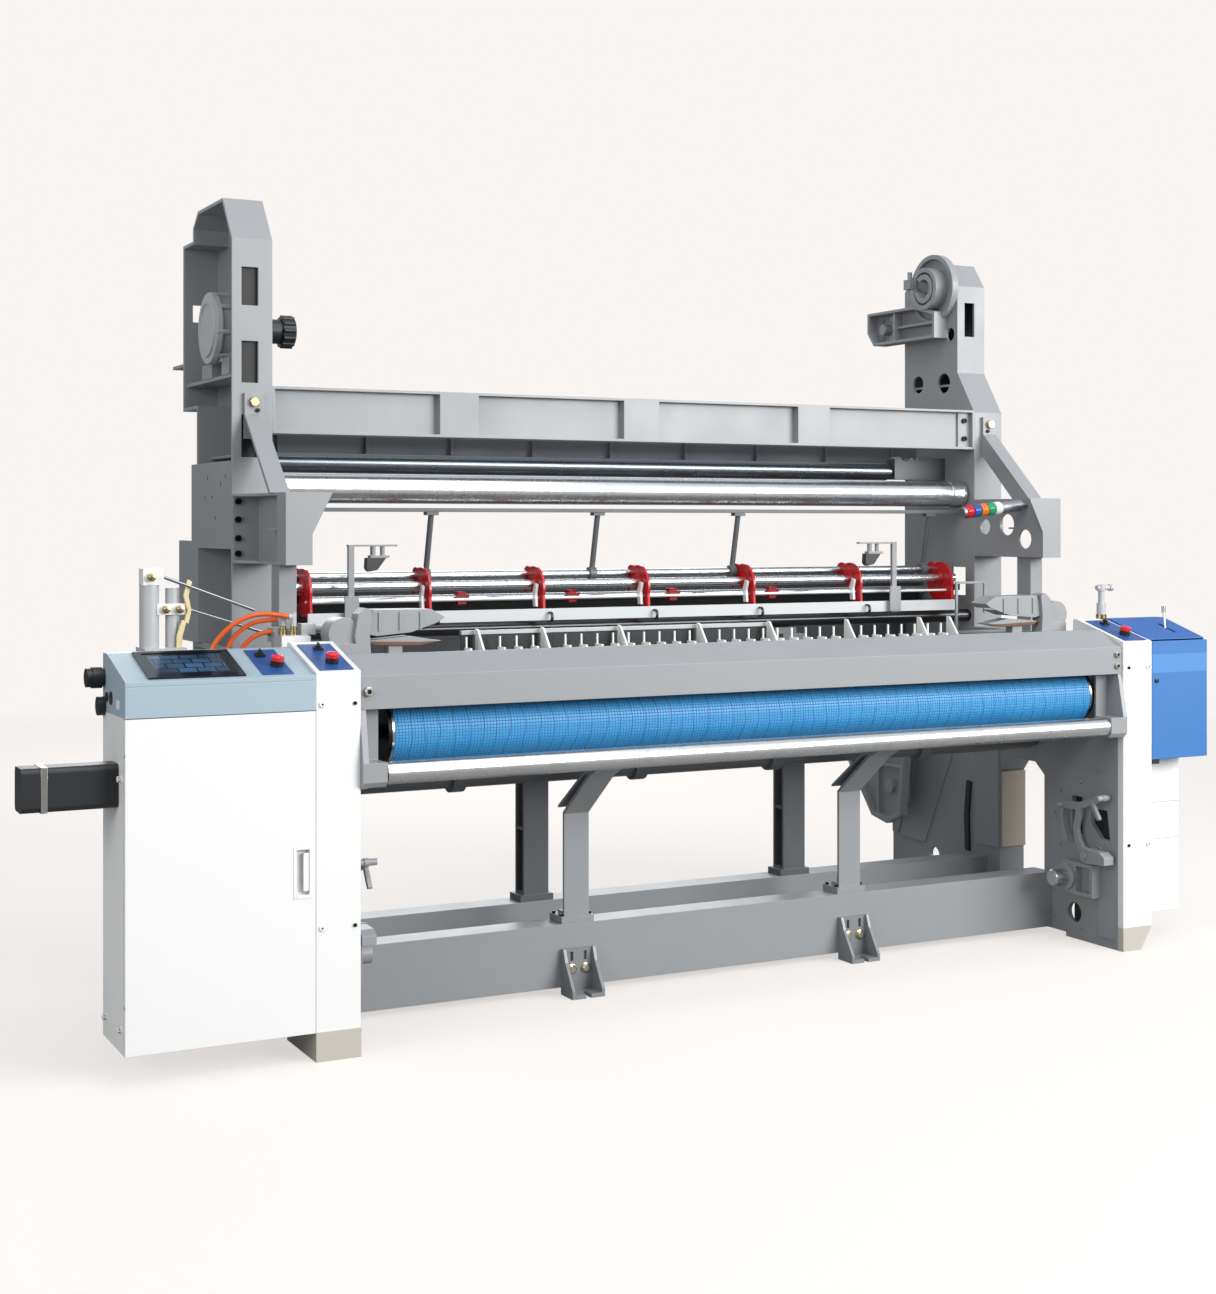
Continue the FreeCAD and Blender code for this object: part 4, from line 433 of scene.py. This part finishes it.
# tension rails: a low tube painted near black as shade, a light painted flat bar and chromed tubes above,
# told apart by where they lie (metres); only the tubes mirror the room
railLook = {"low": "#17181A", "bar": "#C9CBCC", "tube": "#C4C7C9", "shadedTubeTop": 1.0635, "barTop": 1.101,
            "barBack": 0.736, "rough": 0.24, "streakMm": 40.0, "smoothest": 0.22, "roughest": 0.25}


def tensionSteel(s):
    material, tree, shader = newMaterial("tensionSteel", s["tube"], s["rough"])
    place = addNode(tree, "TexCoord")
    axes = addNode(tree, "SeparateXYZ", {0: place.outputs["Object"]})
    # painted shade: below this height the tube is near black and not metal
    low = addNode(tree, "Math", {0: axes.outputs["Z"], 1: s["shadedTubeTop"]}, operation="LESS_THAN")
    front = addNode(tree, "Math", {0: axes.outputs["Y"], 1: frontY + s["barBack"]}, operation="LESS_THAN")
    under = addNode(tree, "Math", {0: axes.outputs["Z"], 1: s["barTop"]}, operation="LESS_THAN")
    bar = addNode(tree, "Math", {0: front.outputs[0], 1: under.outputs[0]}, operation="MULTIPLY")
    tubes = addNode(tree, "Mix", {mixFactor: low.outputs[0], mixFirst: toLinear(s["tube"]),
                                  mixSecond: toLinear(s["low"])}, data_type="RGBA")
    colour = addNode(tree, "Mix", {mixFactor: bar.outputs[0], mixFirst: tubes.outputs[mixResult],
                                   mixSecond: toLinear(s["bar"])}, data_type="RGBA")
    tree.links.new(colour.outputs[mixResult], shader.inputs["Base Color"])
    plain = addNode(tree, "Math", {0: low.outputs[0], 1: bar.outputs[0]}, operation="MAXIMUM")
    shine = addNode(tree, "Math", {0: 1.0, 1: plain.outputs[0]}, operation="SUBTRACT")
    tree.links.new(shine.outputs[0], shader.inputs["Metallic"])
    streaks = surfaceMarks(tree, s["streakMm"], 2.0, (1, 0.1, 0.1))
    gloss = addNode(tree, "MapRange", {"Value": streaks.outputs[0], "From Min": noiseLow,
                                       "From Max": noiseHigh, "To Min": s["smoothest"],
                                       "To Max": s["roughest"]})
    tree.links.new(gloss.outputs[0], shader.inputs["Roughness"])
    return material


materials["tensionSteel"] = tensionSteel(railLook)
print("materials made")

# which finish each carried-over node wears; the rest are grey enamel
finishes = {
    "whitePowder": ["cabinet_shell", "cabinet_door", "column_covers", "white_box"],
    "consolePowder": ["console"],
    "panelFilm": ["control_panels"],
    "bluePowder": ["drive_box", "drive_door"],
    "redEnamel": ["tension_plates"],
    "silverPaint": ["gearbox", "air_units"],
    # the shaded enamel is the grey enamel painted darker as shade
    "shadedEnamel": ["rear_posts", "cross_beams", "sley", "roller_brackets"],
    "hardChrome": ["press_roller", "guide_roller", "guide_tube", "shift_lever"],
    "oiledSteel": ["upper_roller"],
    "groundSteel": ["weft_rods"],
    "blackOxide": ["take_up_roller", "frame_bolts"],
    "feetAndAnchors": ["floor_feet"],
    "reedWires": ["reed"],
    "tensionSteel": ["tension_rails"],
    "coatedFabric": ["take_up_sleeve"],
    "blackRubber": ["backrest_roller"],
    "blackNylon": ["handwheel", "bar_hooks", "guard_box", "panel_switches", "selector_console",
                   "selector_left", "selector_right"],
    "redPolycarbonate": ["estop_console", "estop_left", "estop_right"],
    "whiteNylon": ["tension_levers", "race_guides"],
    "orangePolyurethane": ["orange_hoses"],
    "lensClear": ["signal_lamp"],
    "displayGlass": ["touch_screen"],
}
nodeFinish = {node: finish for finish, nodes in finishes.items() for node in nodes}
for name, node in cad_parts.items():
    node.data.materials.clear()
    node.data.materials.append(materials[nodeFinish.get(name, "greyEnamel")])


sharpFrom = 32  # degrees between two faces, above which their edge stays crisp


# every piece is one mesh with softened edges; the bevel is in mm
def finishPiece(name, mesh, finish, body, bevel=0.0):
    data = bpy.data.meshes.new(name)
    bmesh.ops.recalc_face_normals(mesh, faces=mesh.faces)
    mesh.to_mesh(data)
    mesh.free()
    piece = bpy.data.objects.new(name, data)
    bpy.context.scene.collection.objects.link(piece)
    data.materials.append(materials[finish])
    for face in data.polygons:
        face.use_smooth = True
    if bevel:
        soft = piece.modifiers.new("softEdges", "BEVEL")
        soft.width = bevel / 1000
        soft.segments = 2
        soft.limit_method = "ANGLE"
    data.set_sharp_from_angle(angle=math.radians(sharpFrom))
    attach(piece, body)
    return piece


def addBox(mesh, x, y, z):
    low, high = loom(x[0], y[0], z[0]), loom(x[1], y[1], z[1])
    size = high - low
    place = Matrix.Translation((low + high) / 2) @ Matrix.Diagonal((size.x, size.y, size.z, 1))
    bmesh.ops.create_cube(mesh, size=1.0, matrix=place)


def addTurned(mesh, base, direction, profile, segments=40):
    # profile is (distance along the axis, radius) in mm; ends that reach radius 0 close to a point
    axis = Vector(direction).normalized()
    toAxis = axis.to_track_quat("Z", "Y").to_matrix()
    rings = []
    for along, radius in profile:
        ring = []
        for k in range(segments):
            a = 2 * math.pi * k / segments
            spot = toAxis @ Vector((radius * math.cos(a), radius * math.sin(a), along))
            ring.append(mesh.verts.new(loom(*base) + spot / 1000))
        rings.append(ring)
    for lower, upper in zip(rings[:-1], rings[1:]):
        for k in range(segments):
            mesh.faces.new((lower[k], lower[(k + 1) % segments], upper[(k + 1) % segments], upper[k]))
    mesh.faces.new(rings[0][::-1])
    mesh.faces.new(rings[-1])


def addPlate(mesh, outline, direction, thickness):
    # a flat plate from its outline of loom points, thickened along a direction
    step = Vector(direction).normalized() * (thickness / 1000)
    low = [mesh.verts.new(loom(*p)) for p in outline]
    high = [mesh.verts.new(loom(*p) + step) for p in outline]
    mesh.faces.new(low[::-1])
    mesh.faces.new(high)
    count = len(low)
    for k in range(count):
        mesh.faces.new((low[k], high[k], high[(k + 1) % count], low[(k + 1) % count]))


def makeTube(name, points, radius, finish, body):
    curve = bpy.data.curves.new(name, "CURVE")
    curve.dimensions = "3D"
    spline = curve.splines.new("NURBS")
    spline.points.add(len(points) - 1)
    for point, place in zip(spline.points, points):
        point.co = (*loom(*place), 1)
    spline.order_u = 3
    spline.use_endpoint_u = True
    spline.resolution_u = 12
    curve.bevel_depth = radius / 1000
    curve.bevel_resolution = 4
    curve.use_fill_caps = True
    tube = bpy.data.objects.new(name, curve)
    bpy.context.scene.collection.objects.link(tube)
    curve.materials.append(materials[finish])
    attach(tube, body)
    return tube


# three hoses arch from the valve block down behind the console
hoses = {
    "radius": 6.5,
    "orangeHoseLong": [(-1360, 352, 1112), (-1420, 354, 1125), (-1488, 358, 1110), (-1544, 363, 1068),
                       (-1577, 367, 1012), (-1586, 368, 952)],
    "orangeHoseMiddle": [(-1384, 372, 1104), (-1436, 374, 1104), (-1488, 378, 1078), (-1525, 382, 1028),
                         (-1540, 385, 952)],
    "orangeHoseShort": [(-1392, 392, 1072), (-1434, 394, 1066), (-1470, 397, 1036), (-1492, 400, 996),
                        (-1498, 402, 952)],
}
hoseLengths = {"orangeHoseLong": 0.324, "orangeHoseMiddle": 0.247, "orangeHoseShort": 0.178}
for name, length in hoseLengths.items():
    hose = makeTube(name, hoses[name], hoses["radius"], "orangePolyurethane", "frame")
    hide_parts("orange_hoses")
print("hoses laid")

# lights: a wide soft key from the right front, and weak panels above, behind and at the left (mm, m, W)
lamps = {
    "keyPanel": {"place": (4300, -6300, 3300), "aim": (0, 300, 900), "size": (6.0, 3.0), "power": 800},
    "topPanel": {"place": (-200, -2200, 5600), "aim": (0, 400, 1000), "size": (4.0, 4.0), "power": 150},
    "backPanel": {"place": (1500, 6800, 3600), "aim": (0, 300, 1000), "size": (5.0, 3.0), "power": 220},
    "leftPanel": {"place": (-6400, -2400, 2600), "aim": (0, 300, 1000), "size": (3.0, 3.0), "power": 140},
}
for name, s in lamps.items():
    light = bpy.data.lights.new(name, "AREA")
    light.shape = "RECTANGLE"
    light.size, light.size_y = s["size"]
    light.energy = s["power"]
    holder = bpy.data.objects.new(name, light)
    bpy.context.scene.collection.objects.link(holder)
    holder.location = loom(*s["place"])
    holder.rotation_euler = (loom(*s["aim"]) - holder.location).to_track_quat("-Z", "Y").to_euler()

# room: a warm white backdrop; the light falls off below the horizon, and bright metal mirrors a darker
# floor under a lit ceiling, so that it shows a dark lower edge
room = {"backdrop": "#F9F5F2", "ceiling": "#E9F1FA", "ground": "#4A4948", "mirrorLow": "#2E2D2C",
        "strength": 0.40, "mirrorStrength": 0.95, "fallOff": (-0.25, 0.25), "mirrorEdge": (-0.05, 0.22)}


def makeRoom(s):
    world = bpy.data.worlds.new("studioRoom")
    bpy.context.scene.world = world
    world.use_nodes = True
    tree = world.node_tree
    place = addNode(tree, "TexCoord")
    axes = addNode(tree, "SeparateXYZ", {0: place.outputs["Generated"]})
    sky = {}
    for use, ground, rise, strength in (("light", "ground", "fallOff", "strength"),
                                        ("mirror", "mirrorLow", "mirrorEdge", "mirrorStrength")):
        height = addNode(tree, "MapRange", {"Value": axes.outputs["Z"], "From Min": s[rise][0],
                                            "From Max": s[rise][1]})
        shade = addNode(tree, "Mix", {mixFactor: height.outputs[0], mixFirst: toLinear(s[ground]),
                                      mixSecond: toLinear(s["ceiling"])}, data_type="RGBA")
        sky[use] = addNode(tree, "Background", {"Color": shade.outputs[mixResult], "Strength": s[strength]})
    plain = addNode(tree, "Background", {"Color": toLinear(s["backdrop"]), "Strength": 1.0})
    seen = addNode(tree, "LightPath")
    inside = addNode(tree, "MixShader", {0: seen.outputs["Is Glossy Ray"], 1: sky["light"].outputs[0],
                                         2: sky["mirror"].outputs[0]})
    both = addNode(tree, "MixShader", {0: seen.outputs["Is Camera Ray"], 1: inside.outputs[0],
                                       2: plain.outputs[0]})
    tree.links.new(both.outputs[0], tree.nodes["World Output"].inputs["Surface"])


makeRoom(room)


# floor: thin pale paint that fades into the backdrop, so only a soft contact shadow shows
floorPaint = {"half": 14.0, "colour": "#F1EDEA", "rough": 0.8, "cover": 0.34, "fadeFrom": 4.0, "fadeTo": 9.0}


def makeFloor(s):
    mesh = bmesh.new()
    bmesh.ops.create_grid(mesh, x_segments=1, y_segments=1, size=s["half"])
    data = bpy.data.meshes.new("studioFloor")
    mesh.to_mesh(data)
    mesh.free()
    floor = bpy.data.objects.new("studioFloor", data)
    bpy.context.scene.collection.objects.link(floor)
    paint, tree, shader = newMaterial("floorPaint", s["colour"], s["rough"])
    place = addNode(tree, "TexCoord")
    reach = addNode(tree, "VectorMath", {0: place.outputs["Object"]}, operation="LENGTH")
    fade = addNode(tree, "MapRange", {"Value": reach.outputs["Value"], "From Min": s["fadeFrom"],
                                      "From Max": s["fadeTo"], "To Min": s["cover"], "To Max": 0.0})
    clear = addNode(tree, "BsdfTransparent")
    both = addNode(tree, "MixShader", {0: fade.outputs[0], 1: clear.outputs[0], 2: shader.outputs[0]})
    tree.links.new(both.outputs[0], tree.nodes["Material Output"].inputs["Surface"])
    data.materials.append(paint)


makeFloor(floorPaint)
bpy.context.scene.view_settings.view_transform = "Standard"
print("studio ready")

# signal lamp: coloured lenses on a grey body, leaning up along the machine; profiles are (distance along,
# step in radius) in mm
signal = {"start": (1006, 470, 1402), "lean": 5.6, "radius": 22, "sides": 48, "lens": 30, "neck": 12,
          "bodyLength": 86,
          "colours": ["lensRed", "lensBlue", "lensOrange", "lensGreen", "lensClear"],
          "lensFoot": [(0, -4), (0.5, -1), (2, 0)], "lensTop": [(25.4, -0.5), (26, -4), (30, -4)],
          "ribs": 5, "ribFrom": 3, "ribPitch": 4.4, "rib": [(0, 0), (1.4, -1.2), (2.8, 0)],
          "tip": [(0, -8), (2, -5), (12, -4)],
          "body": [(0, -5), (1, -2), (30, -2), (31, -3), (34, -3), (35, -2), (84, -2), (86, -4)],
          "stemSides": 32, "stem": [(0, -14), (40, -14), (41, -11), (52, -11), (53, -15)]}


def makeSignal(s):
    lean = math.radians(s["lean"])
    along = Vector((math.cos(lean), 0, math.sin(lean)))
    r = s["radius"]
    made = []
    for k, colour in enumerate(s["colours"]):
        mesh = bmesh.new()
        base = Vector(s["start"]) + along * (s["neck"] + k * s["lens"])
        profile = [(at, r + step) for at, step in s["lensFoot"]]
        for rib in range(s["ribs"]):  # moulded rings that spread the light
            profile += [(s["ribFrom"] + rib * s["ribPitch"] + at, r + step) for at, step in s["rib"]]
        profile += [(at, r + step) for at, step in s["lensTop"]]
        addTurned(mesh, base, along, profile, s["sides"])
        made.append(finishPiece("signalLens%d" % (k + 1), mesh, colour, "frame"))
    mesh = bmesh.new()
    bodyFrom = s["neck"] + len(s["colours"]) * s["lens"]
    for part, distance, sides in (("tip", 0, s["sides"]), ("body", bodyFrom, s["sides"]),
                                  ("stem", bodyFrom + s["bodyLength"], s["stemSides"])):
        base = Vector(s["start"]) + along * distance
        addTurned(mesh, base, along, [(at, r + step) for at, step in s[part]], sides)
    made.append(finishPiece("signalBody", mesh, "castAluminium", "frame"))
    for piece in made:
        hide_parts("signal_lamp")


makeSignal(signal)
print("signal lamp made")

plateEdge = 0.5  # mm, the bevel on every small plate

# small plates and blocks laid on the castings: finish, body, and each block's reach in x, y and z (mm)
plateWork = {
    "beigeCover": ("beigePowder", "frame", [((1282, 1385), (600.6, 602), (243, 505))]),
    "doorPullFrame": ("whiteNylon", "cabinet_door",
                      [((-1459, -1451), (-1.6, 1), (418, 550)), ((-1417, -1409), (-1.6, 1), (418, 550)),
                       ((-1451, -1417), (-1.6, 1), (541, 550)), ((-1451, -1417), (-1.6, 1), (418, 427))]),
    "consoleLabel": ("whiteNylon", "frame", [((-1881, -1879.6), (62, 92), (908, 930))]),
    "guardStrap": ("brushedStainless", "frame", [((-2066, -2050), (64.4, 151.6), (666.4, 668)),
                                                 ((-2066, -2050), (64.4, 66), (668, 776)),
                                                 ((-2066, -2050), (64.4, 151.6), (776, 777.6)),
                                                 ((-2066, -2050), (150, 151.6), (668, 776))]),
    "valveCap": ("whiteNylon", "frame", [((-1722, -1666), (476, 524), (1198, 1243)),
                                         ((-1684, -1596), (478, 480.5), (1118, 1148))]),
    "valveFeet": ("whiteNylon", "frame", [((-1730, -1606), (444, 556), (1000, 1012)),
                                          ((-1386, -1305), (326, 330), (1002, 1060))]),
    "boxSeams": ("silverPaint", "frame", [((1400, 1609), (95.4, 96), (449, 451)),
                                          ((1400, 1609), (95.4, 96), (329, 331))]),
    "leftTowerShade": ("blackRubber", "frame", [((-1374, -1290), (762, 765), (1990, 2113)),
                                                ((-1374, -1290), (762, 765), (1766, 1899)),
                                                ((-1374, -1290), (762, 765), (1550, 1686))]),
    "rightLegShade": ("blackRubber", "frame", [((1298, 1299.5), (42, 250), (30, 480))]),
    "reedCap": ("silverPaint", "sley", [((-857, 167), (341, 356), (1049.5, 1061))]),
    "lockTab": ("blackNylon", "frame", [((1404, 1440), (8, 14), (590, 606))]),
}


def makePlates(table):
    for name, (finish, body, blocks) in table.items():
        mesh = bmesh.new()
        for x, y, z in blocks:
            addBox(mesh, x, y, z)
        finishPiece(name, mesh, finish, body, plateEdge)


makePlates(plateWork)
print("plates and blocks made")

turnedSides = 36  # sides of a small turned piece

# turned details: finish, body, axis, profile and the places where each one sits (mm)
turnedWork = {
    "shaftStub": ("hardChrome", "frame", (-1, 0, 0), [(0, 27.4), (50, 27.4), (53, 24), (53.4, 5)],
                  [(1228, 219, 210)]),
    "sleeveRims": ("groundSteel", "take_up", (1, 0, 0), [(0, 86), (0.5, 91.2), (7, 91.2), (7.5, 88)],
                   [(-1171, 150, 812), (1196, 150, 812)]),
    "anchorWashers": ("brass", "frame", (0, -1, 0), [(0, 15), (2.4, 15), (3, 13.5), (3, 11)],
                      [(x, 329, 72) for x in (-516, -472, 450, 494)]),
    "whiteScrews": ("whiteNylon", "frame", (0, -1, 0), [(0, 8), (3.4, 8), (5, 6), (5, 3), (3.6, 2.6)],
                    [(-1384, 0, 338), (-1384, 0, 905), (1384, 0, 338), (1384, 0, 905)]),
    "consoleSocket": ("blackNylon", "frame", (-1, 0, 0), [(0, 17), (1.6, 17), (2, 15), (2, 9), (0.8, 8)],
                      [(-1880, 150, 930)]),
    "valveNuts": ("brass", "frame", (0, -1, 0), [(0, 11), (10, 11), (11, 8), (20, 8), (21, 5)],
                  [(-1660, 480, 1133), (-1622, 480, 1133), (-1700, 476, 1220), (-1700, 450, 1015)]),
    "hoseNuts": ("brass", "frame", (0, 0, 1), [(0, 11), (12, 11), (13, 9), (24, 9), (25, 7)],
                 [(-1345, 352, 1062), (-1368, 372, 1062)]),
    "teeNut": ("brass", "frame", (0, 0, 1), [(0, 17), (14, 17), (15, 13), (22, 13)], [(1388, 222, 1050)]),
    "cabinetScrews": ("whiteNylon", "frame", (-1, 0, 0), [(0, 9), (3, 9), (3.5, 7.5), (10, 7.5), (11, 6)],
                      [(-1880, 40, 132), (-1880, 200, 128), (-1880, 40, 742), (-1880, 200, 738)]),
    "beamScrews": ("zincPlate", "frame", (0, -1, 0), [(0, 12.4), (9, 12.4), (10.6, 10), (10.6, 6), (8, 5)],
                   [(-1258, 6, 932)]),
    "beamEndScrews": ("zincPlate", "frame", (0, -1, 0), [(0, 10), (7, 10), (8.6, 8), (8.6, 5), (6, 4)],
                      [(1258, 6, 912), (1258, 6, 948)]),
    "anchorBolts": ("zincPlate", "frame", (0, -1, 0), [(0, 10.8), (8, 10.8), (9.6, 9)],
                    [(x, 329, 72) for x in (-516, -472, 450, 494)]),
    "braceBolts": ("brass", "frame", (0, -1, 0), [(0, 14.4), (10, 14.4), (12.6, 12)],
                   [(1338, 738, 1716), (-1338, 738, 1716)]),
    "drivePadlock": ("blackNylon", "frame", (0, -1, 0), [(0, 8), (3, 8), (4, 6), (4, 2)], [(1420, 0, 860)]),
}


def makeTurned(table):
    for name, (finish, body, axis, profile, places) in table.items():
        mesh = bmesh.new()
        for place in places:
            addTurned(mesh, place, axis, profile, turnedSides)
        finishPiece(name, mesh, finish, body)


makeTurned(turnedWork)
print("screws, nuts and other turned details made")

# ivory hand levers on the air valves
leverShape = {"finish": "ivoryTube", "thick": 9.0, "bevel": 2.0, "outlines": [
    [(-1612, 471, 1098), (-1600, 471, 1092), (-1592, 471, 1130), (-1600, 471, 1168), (-1590, 471, 1206),
     (-1602, 471, 1214), (-1614, 471, 1170), (-1604, 471, 1132)],
    [(-1634, 471, 1012), (-1620, 471, 1012), (-1616, 471, 1060), (-1606, 471, 1098), (-1618, 471, 1104),
     (-1632, 471, 1062)]]}


def makeLevers(s):
    mesh = bmesh.new()
    for outline in s["outlines"]:
        addPlate(mesh, outline, (0, 1, 0), s["thick"])
    finishPiece("valveLevers", mesh, s["finish"], "frame", s["bevel"])


makeLevers(leverShape)

outlineEdge = 1.0  # mm, the bevel on every flat piece

# flat pieces cut to an outline: finish, body, direction, thickness and outlines (mm)
outlineWork = {
    "rapierRunners": ("brownLacquer", "frame", (0, 1, 0), 58.0,
                      [[(side * x, 266, z) for x, z in ((948, 1041), (1010, 1029), (1140, 1033), (1162, 1045),
                                                        (1140, 1043), (1010, 1039))] for side in (1, -1)]),
    "sensorHeads": ("blackNylon", "frame", (0, 1, 0), 23.0,
                    [[(x + dx, 706.5, z) for dx, z in ((-37, 1263), (25, 1263), (-3, 1227), (-30, 1221),
                                                       (-39, 1231))] for x in (-968, 822)]),
    "heelLever": ("blackNylon", "frame", (-1, 0, 0), 10.0,
                  [[(1280, 770, 205), (1280, 792, 205), (1280, 797, 330), (1280, 784, 455), (1280, 762, 450),
                    (1280, 773, 330)]]),
    # closes the open outer side of the right tower; its shaded enamel makes the tower's windows show painted
    # shade
    "rightTowerSkin": ("shadedEnamel", "frame", (-1, 0, 0), 3.0,
                       [[(1399, 758, 1400), (1399, 758, 1752), (1399, 852, 1903), (1399, 852, 2200),
                         (1399, 930, 2290), (1399, 1120, 2290), (1399, 1150, 2240), (1399, 1150, 1400)]]),
}


def makeOutlines(table):
    for name, (finish, body, direction, thickness, outlines) in table.items():
        mesh = bmesh.new()
        for outline in outlines:
            addPlate(mesh, outline, direction, thickness)
        finishPiece(name, mesh, finish, body, outlineEdge)


makeOutlines(outlineWork)

print("all pieces made")
